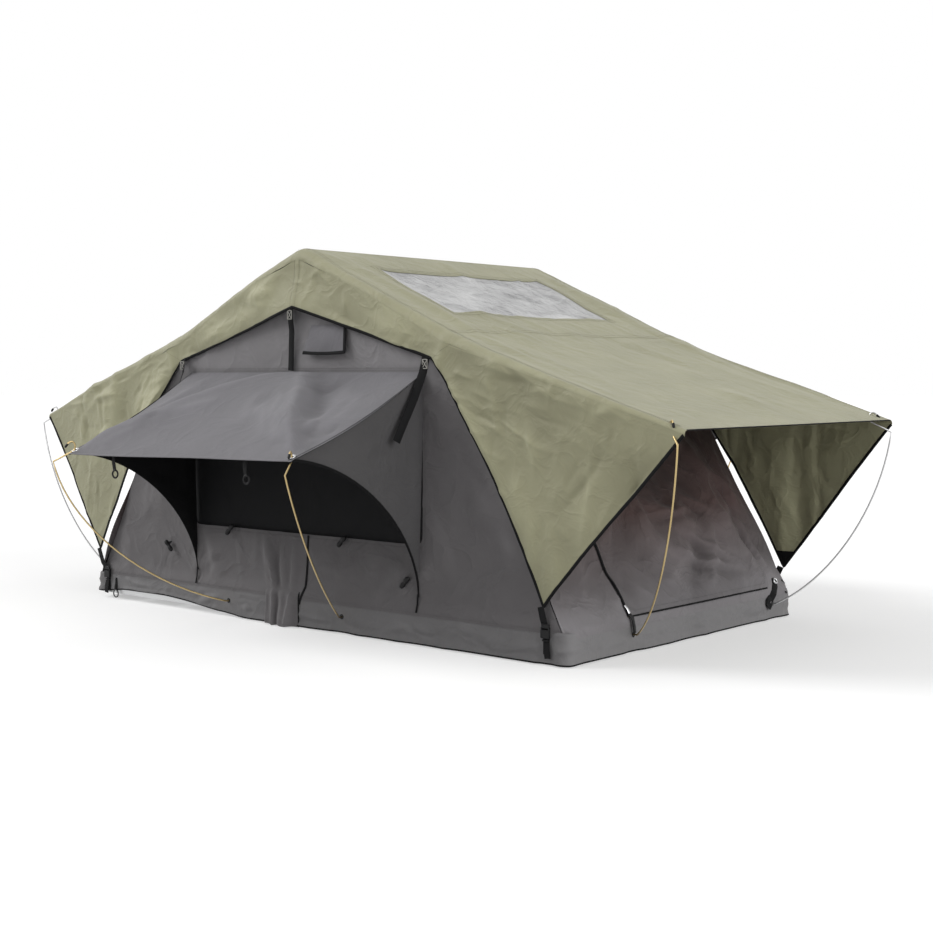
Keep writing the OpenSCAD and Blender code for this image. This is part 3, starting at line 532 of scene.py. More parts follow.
def ring(centre: Array, axis: Array, radius: float, wire: float, stretch: float = 1.0) -> Shell:
    """A closed wire ring.

    Args:
        centre: Middle of the ring.
        axis: Direction of its bore.
        radius: Radius to the wire's middle.
        wire: Radius of the wire.
        stretch: Length of the ring along the second axis as a share of its width.

    Returns:
        The ring.
    """
    w = np.asarray(axis, float) / np.linalg.norm(axis)
    u = np.cross(w, line(0, 0, 1)) if abs(w[2]) < 0.9 else np.cross(w, line(0, 1, 0))
    u /= np.linalg.norm(u)
    v = np.cross(w, u)
    sides, small = 24, 8
    a = np.linspace(0, 2 * math.pi, sides, endpoint=False)
    b = np.linspace(0, 2 * math.pi, small, endpoint=False)
    spoke = np.cos(a)[:, None] * u + np.sin(a)[:, None] * v * stretch
    points = (np.asarray(centre) + radius * spoke)[:, None] + wire * (
        np.cos(b)[None, :, None] * spoke[:, None] + np.sin(b)[None, :, None] * w)
    faces = [(i * small + j, (i + 1) % sides * small + j, (i + 1) % sides * small + (j + 1) % small,
        i * small + (j + 1) % small) for i in range(sides) for j in range(small)]
    uv = np.stack(np.broadcast_arrays(a[:, None] * radius, b[None] * wire), axis=2).reshape(-1, 2)
    return Shell(points.reshape(-1, 3), faces, uv)


def block(low: Sequence[float], high: Sequence[float], bevel: float) -> Shell:
    """A box with every edge cut back.

    Args:
        low: Lowest corner.
        high: Highest corner.
        bevel: Length cut back at the edges.

    Returns:
        The box.
    """
    a, b = line(*low), line(*high)
    outline = line((a[0] + bevel, a[1]), (b[0] - bevel, a[1]), (b[0], a[1] + bevel), (b[0], b[1] - bevel),
        (b[0] - bevel, b[1]), (a[0] + bevel, b[1]), (a[0], b[1] - bevel), (a[0], a[1] + bevel))
    middle = (a[:2] + b[:2]) / 2
    levels = [(a[2], 1), (a[2] + bevel, 0), (b[2] - bevel, 0), (b[2], 1)]
    half = (b[:2] - a[:2]) / 2
    points = []
    for z, inset in levels:
        shrink = (half - bevel * inset) / half
        points += [(*(middle + (p - middle) * shrink), z) for p in outline]
    solid = np.array(points)
    return Shell(solid, ring_faces(len(levels), len(outline)), solid[:, [0, 2]])


Run = tuple[Shell, Material]


def piece(name: str, *runs: Run, sharp: float = SHARP_EDGE) -> Object:
    """Makes one object from shells and their finishes.

    Args:
        name: Name of the piece.
        runs: Pairs of a shell and its finish.
        sharp: Edges that turn by more than this many degrees stay sharp.

    Returns:
        The object, at the origin.
    """
    finishes = list(dict.fromkeys(finish for _, finish in runs))
    points, faces, uv, slots, painted_shadings, start = [], [], [], [], [], 0
    for shell, finish in runs:
        points.append(shell.points)
        uv.append(shell.uv)
        shade = np.zeros(len(shell.points)) if shell.shade is None else shell.shade.ravel()
        painted_shadings.append(np.clip(shade, -PAINTED_SHADING_LIMIT, PAINTED_SHADING_LIMIT))
        faces += [tuple(i + start for i in f) for f in shell.faces]
        slots += [finishes.index(finish)] * len(shell.faces)
        start += len(shell.points)
    mesh = bpy.data.meshes.new(name)
    mesh.from_pydata(np.concatenate(points).tolist(), [], faces)
    for finish in finishes:
        mesh.materials.append(finish)
    mesh.polygons.foreach_set("material_index", slots)
    mesh.polygons.foreach_set("use_smooth", [True] * len(mesh.polygons))
    corner = np.zeros(len(mesh.loops), int)
    mesh.loops.foreach_get("vertex_index", corner)
    # Painted light and shade of each point, which the cloth's finish adds to its tone.
    mesh.attributes.new("shade", "FLOAT", "POINT").data.foreach_set("value", np.concatenate(painted_shadings))
    layer = mesh.uv_layers.new(name="flat")
    layer.data.foreach_set("uv", np.concatenate(uv)[corner].ravel())
    mesh.set_sharp_from_angle(angle=math.radians(sharp))
    mesh.update()
    obj = bpy.data.objects.new(name, mesh)
    bpy.context.scene.collection.objects.link(obj)
    return obj


def bake(obj: Object) -> Object:
    """Turns an object's modifiers into its mesh.

    Args:
        obj: The object.

    Returns:
        The same object, without modifiers.
    """
    bpy.context.view_layer.update()
    mesh = bpy.data.meshes.new_from_object(obj.evaluated_get(bpy.context.evaluated_depsgraph_get()))
    obj.modifiers.clear()
    obj.data = mesh
    return obj


def sewn(name: str, shell: Shell, finish: Material, thickness: float,
        lining: Optional[Material] = None) -> Object:
    """Makes a sheet of cloth with a real thickness.

    Args:
        name: Name of the piece.
        shell: Its outer face.
        finish: Finish of the outer face.
        thickness: Thickness of the cloth.
        lining: Finish of the inner face and edge, if it differs.

    Returns:
        The sheet.
    """
    obj = piece(name, (shell, finish))
    solid = obj.modifiers.new("Cloth thickness", "SOLIDIFY")
    solid.thickness = thickness
    solid.offset = -1.0
    if lining is not None:
        obj.data.materials.append(lining)
        solid.material_offset = solid.material_offset_rim = 1
    bake(obj).data.set_sharp_from_angle(angle=math.radians(SHARP_EDGE))
    return obj


@dataclass(frozen=True)
class Crumple:
    """Cloth on the canopy: each such piece gets its own copy of its mesh."""

    joint: str = "fold"
    keep: float = 0.02

    def give(self, obj: Object) -> None:
        """Gives a piece its own copy of its mesh."""
        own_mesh(obj)


@dataclass(frozen=True)
class Seat:
    """Where a piece rides and what it stands for; the slot is kept but not read."""

    body: str
    slot: str
    nodes: tuple[str, ...] = ()
    gathers: bool = True

    def take(self, obj: Object) -> None:
        """Seats a piece.

        Args:
            obj: The piece, in place.
        """
        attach(obj, self.body)
        if self.nodes:
            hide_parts(*self.nodes)
        if self.gathers:
            Crumple().give(obj)
        LOG.info("%s rides on %s", obj.name, self.body)


class Graph:
    """Adds and links the nodes of one tree."""

    def __init__(self, tree: bpy.types.NodeTree) -> None:
        """Takes the tree that the nodes go into."""
        self.tree = tree

    def node(self, kind: str, inputs: Optional[dict[Any, Any]] = None, **settings: Any) -> bpy.types.Node:
        """Adds a node.

        Args:
            kind: Blender's name of the node type.
            inputs: Values, or sockets to link, by input name or number.
            settings: Properties of the node.

        Returns:
            The node.
        """
        made = self.tree.nodes.new(kind)
        for key, value in settings.items():
            setattr(made, key, value)
        for key, value in (inputs or {}).items():
            if isinstance(value, bpy.types.NodeSocket):
                self.tree.links.new(value, made.inputs[key])
            else:
                made.inputs[key].default_value = value
        return made

    def math(self, operation: str, a: Any, b: Any = 0.0, c: Any = 0.0) -> bpy.types.NodeSocket:
        """The result of a Math node on up to three values."""
        return self.node("ShaderNodeMath", {0: a, 1: b, 2: c}, operation=operation).outputs[0]

    def noise(self, place: Any, scale: Any, detail: float, roughness: float = 0.5,
            distortion: float = 0.0) -> bpy.types.NodeSocket:
        """The value of a Noise Texture node.

        Args:
            place: Socket with the place.
            scale: Fineness of the grain, or its socket.
            detail: Number of finer layers.
            roughness: Weight of the finer layers.
            distortion: How far the grain is bent.

        Returns:
            Socket with the value.
        """
        values = {"Vector": place, "Scale": scale, "Detail": detail, "Roughness": roughness,
            "Distortion": distortion}
        return self.node("ShaderNodeTexNoise", values).outputs["Fac"]

    def mix(self, factor: Any, a: Sequence[float], b: Sequence[float]) -> bpy.types.NodeSocket:
        """A colour between two others."""
        made = self.node("ShaderNodeMix", {0: factor, 6: (*a, 1.0), 7: (*b, 1.0)}, data_type="RGBA")
        return made.outputs[2]


class Effects:
    """Shader node groups that several finishes share, each built once."""

    built: dict[str, bpy.types.NodeTree] = {}

    @classmethod
    def start(cls, name: str, place: str, measures: Sequence[str]) -> tuple[Graph, Any, Any]:
        """Starts a group that gives a height and a tone.

        Args:
            name: Name of the group.
            place: Name of the input that says where on the piece it is.
            measures: Names of the value inputs.

        Returns:
            The group's graph and its input and output nodes.
        """
        tree = bpy.data.node_groups.new(name, "ShaderNodeTree")
        tree.interface.new_socket(place, in_out="INPUT", socket_type="NodeSocketVector")
        for label in measures:
            tree.interface.new_socket(label, in_out="INPUT", socket_type="NodeSocketFloat")
        for label in ("Height", "Tone"):
            tree.interface.new_socket(label, in_out="OUTPUT", socket_type="NodeSocketFloat")
        cls.built[name] = tree
        graph = Graph(tree)
        return graph, graph.node("NodeGroupInput"), graph.node("NodeGroupOutput")

    @classmethod
    def weave(cls) -> bpy.types.NodeTree:
        """Plain weave with fine creases and uneven tone, from a flat map in metres.

        Returns:
            The group.
        """
        if "weave" not in cls.built:
            measures = ("Threads", "Thread relief", "Creases", "Crease relief")
            g, into, out = cls.start("weave", "Flat map", measures)
            flat = into.outputs["Flat map"]
            turns = g.math("MULTIPLY", into.outputs["Threads"], 2 * math.pi)
            parts = g.node("ShaderNodeSeparateXYZ", {0: flat})
            warp = g.math("SINE", g.math("MULTIPLY", parts.outputs[0], turns))
            weft = g.math("SINE", g.math("MULTIPLY", parts.outputs[1], turns))
            cloth = g.math("MULTIPLY", g.math("MULTIPLY", warp, weft), into.outputs["Thread relief"])
            crease = g.noise(flat, into.outputs["Creases"], 3.0, distortion=0.7)
            fold = g.math("ABSOLUTE", g.math("MULTIPLY_ADD", crease, 2.0, -1.0))
            sharp = g.math("POWER", g.math("SUBTRACT", 1.0, fold), 4.0)
            height = g.math("ADD", cloth, g.math("MULTIPLY", sharp, into.outputs["Crease relief"]))
            g.tree.links.new(height, out.inputs["Height"])
            g.tree.links.new(g.noise(flat, 3.3, 6.0, 0.62), out.inputs["Tone"])
        return cls.built["weave"]

    @classmethod
    def grain(cls) -> bpy.types.NodeTree:
        """Fine speckle and slow patches, from a place on the object.

        Returns:
            The group.
        """
        if "grain" not in cls.built:
            g, into, out = cls.start("grain", "Place", ("Grains", "Relief"))
            place = into.outputs["Place"]
            fine = g.noise(place, into.outputs["Grains"], 2.0)
            g.tree.links.new(g.math("MULTIPLY", fine, into.outputs["Relief"]), out.inputs["Height"])
            g.tree.links.new(g.noise(place, 9.0, 5.0, 0.65), out.inputs["Tone"])
        return cls.built["grain"]


Colour = tuple[float, float, float]


@dataclass(frozen=True)
class Finish:
    """A material: its name and the two tones that its colour moves between."""

    name: str
    dark: Colour
    light: Colour
    roughness: float = 0.6

    def started(self) -> tuple[Material, Graph, bpy.types.Node]:
        """Starts the material.

        Returns:
            A new material, its graph and its Principled shader.
        """
        material = bpy.data.materials.new(self.name)
        material.use_nodes = True
        shader = material.node_tree.nodes["Principled BSDF"]
        shader.inputs["Roughness"].default_value = self.roughness
        return material, Graph(material.node_tree), shader

    @staticmethod
    def weave(g: Graph, threads: float, thread_relief: float, creases: float,
            crease_relief: float) -> bpy.types.Node:
        """The shared weave, laid on the piece's flat map.

        Args:
            g: The material's graph.
            threads: Threads in a metre.
            thread_relief: Height of a thread.
            creases: Creases in a metre.
            crease_relief: Height of a crease.

        Returns:
            The group's node.
        """
        values = {"Flat map": g.node("ShaderNodeUVMap", uv_map="flat").outputs["UV"], "Threads": threads,
            "Thread relief": thread_relief, "Creases": creases, "Crease relief": crease_relief}
        return g.node("ShaderNodeGroup", values, node_tree=Effects.weave())

    def shaded(self, g: Graph, shader: bpy.types.Node, tone: Any, height: Any) -> None:
        """Links a tone to the colour and a height to the normal.

        Args:
            g: The material's graph.
            shader: Its Principled shader.
            tone: Socket between 0 and 1.
            height: Socket with a height in metres.
        """
        g.tree.links.new(g.mix(tone, self.dark, self.light), shader.inputs["Base Color"])
        relief = g.node("ShaderNodeBump", {"Height": height, "Distance": 1.0, "Strength": 1.0})
        g.tree.links.new(relief.outputs["Normal"], shader.inputs["Normal"])


@dataclass(frozen=True)
class ClothFinish(Finish):
    """Woven cloth on a flat map."""

    threads: float = 600.0
    thread_relief: float = 0.00006
    creases: float = 9.0
    crease_relief: float = 0.0012
    sheen: float = 0.1
    gloss: float = 0.3

    def make(self) -> Material:
        """Builds the material.

        Returns:
            The material.
        """
        material, g, shader = self.started()
        weave = self.weave(g, self.threads, self.thread_relief, self.creases, self.crease_relief)
        # Painted light and shade from the mesh's attribute moves each point between the dark and light tone.
        shade = g.node("ShaderNodeAttribute", attribute_name="shade").outputs["Fac"]
        self.shaded(g, shader, g.math("ADD", weave.outputs["Tone"], shade), weave.outputs["Height"])
        shader.inputs["Sheen Weight"].default_value = self.sheen
        shader.inputs["Sheen Roughness"].default_value = 0.5
        shader.inputs["Specular IOR Level"].default_value = self.gloss
        return material


@dataclass(frozen=True)
class FootToHeadPaintedClothFinish(ClothFinish):
    """Woven cloth with painted light and shade: one pair of tones at the foot of its flat map and another at
    its head.
    """

    foot_dark: Colour = (0.15, 0.15, 0.15)
    foot_light: Colour = (0.2, 0.2, 0.2)
    fade: tuple[float, float] = (0.1, 0.6)

    def shaded(self, g: Graph, shader: bpy.types.Node, tone: Any, height: Any) -> None:
        """Links the painted tones of foot and head to the colour and a height to the normal.

        Args:
            g: The material's graph.
            shader: Its Principled shader.
            tone: Socket between 0 and 1.
            height: Socket with a height in metres.
        """
        super().shaded(g, shader, tone, height)
        head = shader.inputs["Base Color"].links[0].from_socket
        foot = g.mix(tone, self.foot_dark, self.foot_light)
        flat = g.node("ShaderNodeUVMap", uv_map="flat").outputs["UV"]
        up = g.node("ShaderNodeSeparateXYZ", {0: flat}).outputs[1]
        share = g.node("ShaderNodeMapRange", {0: up, 1: self.fade[0], 2: self.fade[1]}).outputs[0]
        both = g.node("ShaderNodeMix", {0: share, 6: foot, 7: head}, data_type="RGBA")
        g.tree.links.new(both.outputs[2], shader.inputs["Base Color"])


@dataclass(frozen=True)
class SolidFinish(Finish):
    """Metal, plastic or board with a fine grain."""

    metallic: float = 0.0
    grains: float = 900.0
    relief: float = 0.00004
    gloss: float = 0.5

    def make(self) -> Material:
        """Builds the material.

        Returns:
            The material.
        """
        material, g, shader = self.started()
        place = g.node("ShaderNodeTexCoord").outputs["Object"]
        grain = g.node("ShaderNodeGroup", {"Place": place, "Grains": self.grains, "Relief": self.relief},
            node_tree=Effects.grain())
        self.shaded(g, shader, grain.outputs["Tone"], grain.outputs["Height"])
        worn = g.math("MULTIPLY_ADD", grain.outputs["Tone"], 0.24, self.roughness - 0.12)
        g.tree.links.new(worn, shader.inputs["Roughness"])
        shader.inputs["Metallic"].default_value = self.metallic
        shader.inputs["Specular IOR Level"].default_value = self.gloss
        return material


@dataclass(frozen=True)
class NetFinish(Finish):
    """Fine insect net: threads with gaps between them."""

    threads: float = 420.0
    thread_share: float = 0.975

    def make(self) -> Material:
        """Builds the material.

        Returns:
            The material.
        """
        material, g, shader = self.started()
        weave = self.weave(g, self.threads, 0.0002, 4.0, 0.002)
        self.shaded(g, shader, weave.outputs["Tone"], weave.outputs["Height"])
        shader.inputs["Alpha"].default_value = self.thread_share
        shader.inputs["Specular IOR Level"].default_value = 0.15
        return material


@dataclass(frozen=True)
class FilmFinish(Finish):
    """Crinkled clear film over a silvery lining."""

    def make(self) -> Material:
        """Builds the material.

        Returns:
            The material.
        """
        material, g, shader = self.started()
        weave = self.weave(g, 180.0, 0.00012, 16.0, 0.004)
        streak = g.math("MULTIPLY_ADD", weave.outputs["Tone"], 2.6, -0.75)
        self.shaded(g, shader, streak, weave.outputs["Height"])
        shader.inputs["Coat Weight"].default_value = 0.6
        shader.inputs["Coat Roughness"].default_value = 0.12
        return material


class Wardrobe:
    """Every finish of the tent."""

    def __init__(self) -> None:
        """Builds the finishes."""
        canvas = {"threads": 420, "thread_relief": 0.0001}
        self.fly = ClothFinish("sage_fly_cloth", (0.246, 0.238, 0.15), (0.412, 0.402, 0.26), 0.58,
            creases=11, crease_relief=0.002, sheen=0.15).make()
        # Painted light and shade: the gables' canvas is darker at the foot, below the hood's seam where the
        # hood shades it, and lighter at the head above it.
        self.canvas = FootToHeadPaintedClothFinish("grey_canvas", (0.178, 0.172, 0.177), (0.282, 0.272, 0.28), 0.78,
            creases=7, crease_relief=0.003, foot_dark=(0.103, 0.097, 0.1), foot_light=(0.169, 0.161, 0.165),
            fade=(0.86, 0.96), **canvas).make()
        # Painted shade and light: the end walls are darker and brownish at the head, as painted shade under
        # the awning, and pale at the foot, as painted light from the side.
        self.painted_end_canvas = FootToHeadPaintedClothFinish("end_wall_canvas", (0.036, 0.0225, 0.021), (0.084, 0.054, 0.051),
            0.78, creases=6, crease_relief=0.006, foot_dark=(0.106, 0.099, 0.103),
            foot_light=(0.246, 0.234, 0.243), fade=(0.05, 0.39), **canvas).make()
        self.hood = ClothFinish("hood_canvas", (0.128, 0.124, 0.134), (0.189, 0.184, 0.198), 0.72,
            creases=6, crease_relief=0.0024, **canvas).make()
        # Painted shade: the gores are a darker copy of the hood's canvas, for the shade they stand in beside
        # the hood.
        self.gore = ClothFinish("gore_canvas_painted_shade", (0.058, 0.056, 0.058), (0.088, 0.085, 0.087), 0.78,
            creases=7, crease_relief=0.0026, **canvas).make()
        self.lining = ClothFinish("black_lining", (0.004, 0.004, 0.0045), (0.009, 0.009, 0.0095), 0.8,
            sheen=0.0, gloss=0.15).make()
        self.skirt = ClothFinish("skirt_cloth", (0.115, 0.112, 0.114), (0.226, 0.221, 0.225), 0.7,
            threads=380, thread_relief=0.00012, creases=8, crease_relief=0.0024).make()
        self.tape = ClothFinish("black_binding", (0.005, 0.005, 0.0055), (0.011, 0.011, 0.0115), 0.65,
            threads=900, thread_relief=0.0001, crease_relief=0.0003, sheen=0.0, gloss=0.08).make()
        self.webbing = ClothFinish("black_webbing", (0.005, 0.005, 0.0055), (0.012, 0.012, 0.0125), 0.6,
            threads=330, thread_relief=0.00025, crease_relief=0.0002, sheen=0.0, gloss=0.1).make()
        self.mattress = ClothFinish("mattress_cover", (0.27, 0.27, 0.265), (0.36, 0.36, 0.352), 0.8,
            threads=300).make()
        self.net = NetFinish("black_insect_net", (0.006, 0.006, 0.007), (0.014, 0.014, 0.015), 0.7).make()
        self.film = FilmFinish("crinkled_skylight_film", (0.06, 0.061, 0.064), (0.5, 0.5, 0.5), 0.32).make()
        self.thread = SolidFinish("sage_thread", (0.13, 0.126, 0.085), (0.2, 0.194, 0.13)).make()
        self.pale_thread = SolidFinish("pale_thread", (0.26, 0.255, 0.23), (0.34, 0.33, 0.3)).make()
        self.dark_thread = SolidFinish("dark_thread", (0.06, 0.06, 0.06), (0.1, 0.1, 0.1)).make()
        self.plastic = SolidFinish("black_plastic", (0.006, 0.006, 0.0065), (0.013, 0.013, 0.0135), 0.42,
            gloss=0.2).make()
        self.alloy = SolidFinish("mill_aluminium", (0.55, 0.555, 0.56), (0.68, 0.685, 0.69), 0.4,
            metallic=1.0).make()
        self.steel = SolidFinish("bright_steel", (0.5, 0.5, 0.51), (0.66, 0.66, 0.67), 0.3,
            metallic=1.0).make()
        self.black_steel = SolidFinish("blackened_steel", (0.03, 0.03, 0.032), (0.06, 0.06, 0.062), 0.38,
            metallic=0.8).make()
        self.gold = SolidFinish("yellow_passivated_steel", (0.42, 0.31, 0.14), (0.6, 0.47, 0.24), 0.36,
            metallic=1.0).make()
        self.board = SolidFinish("floor_board", (0.3, 0.3, 0.3), (0.38, 0.38, 0.38), 0.5).make()


class Repeater:
    """A Geometry Nodes tree that sets one small shape on many places."""

    def __init__(self, name: str, measures: Sequence[str]) -> None:
        """Starts the tree with its sockets.

        Args:
            name: Name of the tree.
            measures: Names of the shape's measures.
        """
        self.tree = bpy.data.node_groups.new(name, "GeometryNodeTree")
        kinds = {"Places": "Geometry", **dict.fromkeys(measures, "Float"), "Finish": "Material"}
        for label, kind in kinds.items():
            self.tree.interface.new_socket(label, in_out="INPUT", socket_type=f"NodeSocket{kind}")
        self.tree.interface.new_socket("Shapes", in_out="OUTPUT", socket_type="NodeSocketGeometry")
        self.graph = Graph(self.tree)
        self.into = self.graph.node("NodeGroupInput").outputs

    def aimed(self, way: Any, axis: str) -> Any:
        """Rotations that turn one axis of the shape to a direction."""
        return self.graph.node("FunctionNodeAlignRotationToVector", {"Vector": way}, axis=axis).outputs[0]

    def spread(self, points: Any, shape: Any, aim: Any) -> Any:
        """Sets the shape on points and makes every copy real.

        Args:
            points: Socket with the points.
            shape: Socket with the shape.
            aim: Socket with a rotation for each point.

        Returns:
            Socket with the shapes.
        """
        values = {"Points": points, "Instance": shape, "Rotation": aim}
        laid = self.graph.node("GeometryNodeInstanceOnPoints", values)
        return self.graph.node("GeometryNodeRealizeInstances", {0: laid.outputs[0]}).outputs[0]

    def end(self, shapes: Any) -> None:
        """Ends the tree with shapes that take the finish.

        Args:
            shapes: Socket with the shapes.
        """
        values = {"Geometry": shapes, "Material": self.into["Finish"]}
        dressed = self.graph.node("GeometryNodeSetMaterial", values)
        self.graph.node("NodeGroupOutput", {"Shapes": dressed.outputs[0]})

    def run(self, mesh: bpy.types.Mesh, values: dict[str, Any]) -> Object:
        """Runs the tree on a mesh of places.

        Args:
            mesh: The places.
            values: Measures and finish, by name.

        Returns:
            The shapes as one plain mesh.
        """
        obj = bpy.data.objects.new(mesh.name, mesh)
        bpy.context.scene.collection.objects.link(obj)
        modifier = obj.modifiers.new("Shapes on places", "NODES")
        modifier.node_group = self.tree
        for item in self.tree.interface.items_tree:
            if item.name in values:
                modifier[item.identifier] = values[item.name]
        return bake(obj)


class LineRepeater(Repeater):
    """Lays one small grain along lines: stitches or zip teeth."""

    def __init__(self) -> None:
        """Builds the tree."""
        super().__init__("shapes_along_lines", ("Spacing", "Length", "Width", "Height"))
        g, into = self.graph, self.into
        curve = g.node("GeometryNodeMeshToCurve", {"Mesh": into["Places"]})
        spaced = g.node("GeometryNodeResampleCurve", {"Curve": curve.outputs[0], "Length": into["Spacing"]},
            mode="LENGTH")
        grain = g.node("GeometryNodeMeshIcoSphere", {"Radius": 0.5, "Subdivisions": 1})
        size = g.node("ShaderNodeCombineXYZ", {0: into["Length"], 1: into["Width"], 2: into["Height"]})
        shape = g.node("GeometryNodeTransform", {"Geometry": grain.outputs["Mesh"], "Scale": size.outputs[0]})
        aim = self.aimed(g.node("GeometryNodeInputTangent").outputs[0], "X")
        self.end(self.spread(spaced.outputs[0], shape.outputs[0], aim))

    def lay(self, name: str, lines: Sequence[Array], spacing: float, size: Sequence[float],
            finish: Material) -> Object:
        """Lays the shapes along lines.

        Args:
            name: Name of the piece.
            lines: Paths in three axes.
            spacing: Distance between shapes.
            size: Length, width and height of one shape.
            finish: Finish of the shapes.

        Returns:
            The shapes as one plain mesh.
        """
        edges, start = [], 0
        for path in lines:
            edges += [(start + i, start + i + 1) for i in range(len(path) - 1)]
            start += len(path)
        mesh = bpy.data.meshes.new(name)
        mesh.from_pydata(np.concatenate(lines).tolist(), edges, [])
        length, width, height = size
        return self.run(mesh, {"Spacing": spacing, "Length": length, "Width": width, "Height": height,
            "Finish": finish})


class EyeletSet(Repeater):
    """Sets pressed metal eyelets on points that face a way."""

    def __init__(self) -> None:
        """Builds the tree."""
        super().__init__("eyelets_on_points", ("Radius", "Rim"))
        g, into = self.graph, self.into
        loop, rim = (g.node("GeometryNodeCurvePrimitiveCircle", {"Resolution": steps, "Radius": into[label]})
            for steps, label in ((24, "Radius"), (8, "Rim")))
        solid = g.node("GeometryNodeCurveToMesh", {"Curve": loop.outputs[0], "Profile Curve": rim.outputs[0]})
        flat = g.node("GeometryNodeTransform", {"Geometry": solid.outputs[0], "Scale": (1.0, 1.0, 0.6)})
        facing = g.node("GeometryNodeInputNamedAttribute", {"Name": "facing"}, data_type="FLOAT_VECTOR")
        shapes = self.spread(into["Places"], flat.outputs[0], self.aimed(facing.outputs[0], "Z"))
        self.end(g.node("GeometryNodeSetShadeSmooth", {"Geometry": shapes}).outputs[0])

    def set(self, name: str, places: Array, facing: Array, radius: float, rim: float,
            finish: Material) -> Object:
        """Sets eyelets.

        Args:
            name: Name of the piece.
            places: Middles of the eyelets.
            facing: Direction that each eyelet's bore looks along.
            radius: Radius to the rim's middle.
            rim: Radius of the rolled rim.
            finish: Finish of the metal.

        Returns:
            The eyelets as one plain mesh.
        """
        mesh = bpy.data.meshes.new(name)
        mesh.from_pydata(places.tolist(), [], [])
        mesh.attributes.new("facing", "FLOAT_VECTOR", "POINT").data.foreach_set("vector", facing.ravel())
        return self.run(mesh, {"Radius": radius, "Rim": rim, "Finish": finish})


@dataclass
class Workshop:
    """What every sub-assembly shares: finishes and repeating shapes."""

    wardrobe: Wardrobe
    lines: LineRepeater
    eyelets: EyeletSet

    def stitches(self, name: str, lines: Sequence[Array], finish: Material, spacing: float = 0.007) -> Object:
        """Runs stitches along seam lines on the cloth's face, one in each spacing."""
        return self.lines.lay(name, lines, spacing, (spacing * 0.72, 0.0016, 0.0012), finish)

    def zip(self, name: str, path: Array) -> Object:
        """Lays the teeth of a zip along a path."""
        return self.lines.lay(name, [path], 0.005, (0.0026, 0.007, 0.003), self.wardrobe.plastic)


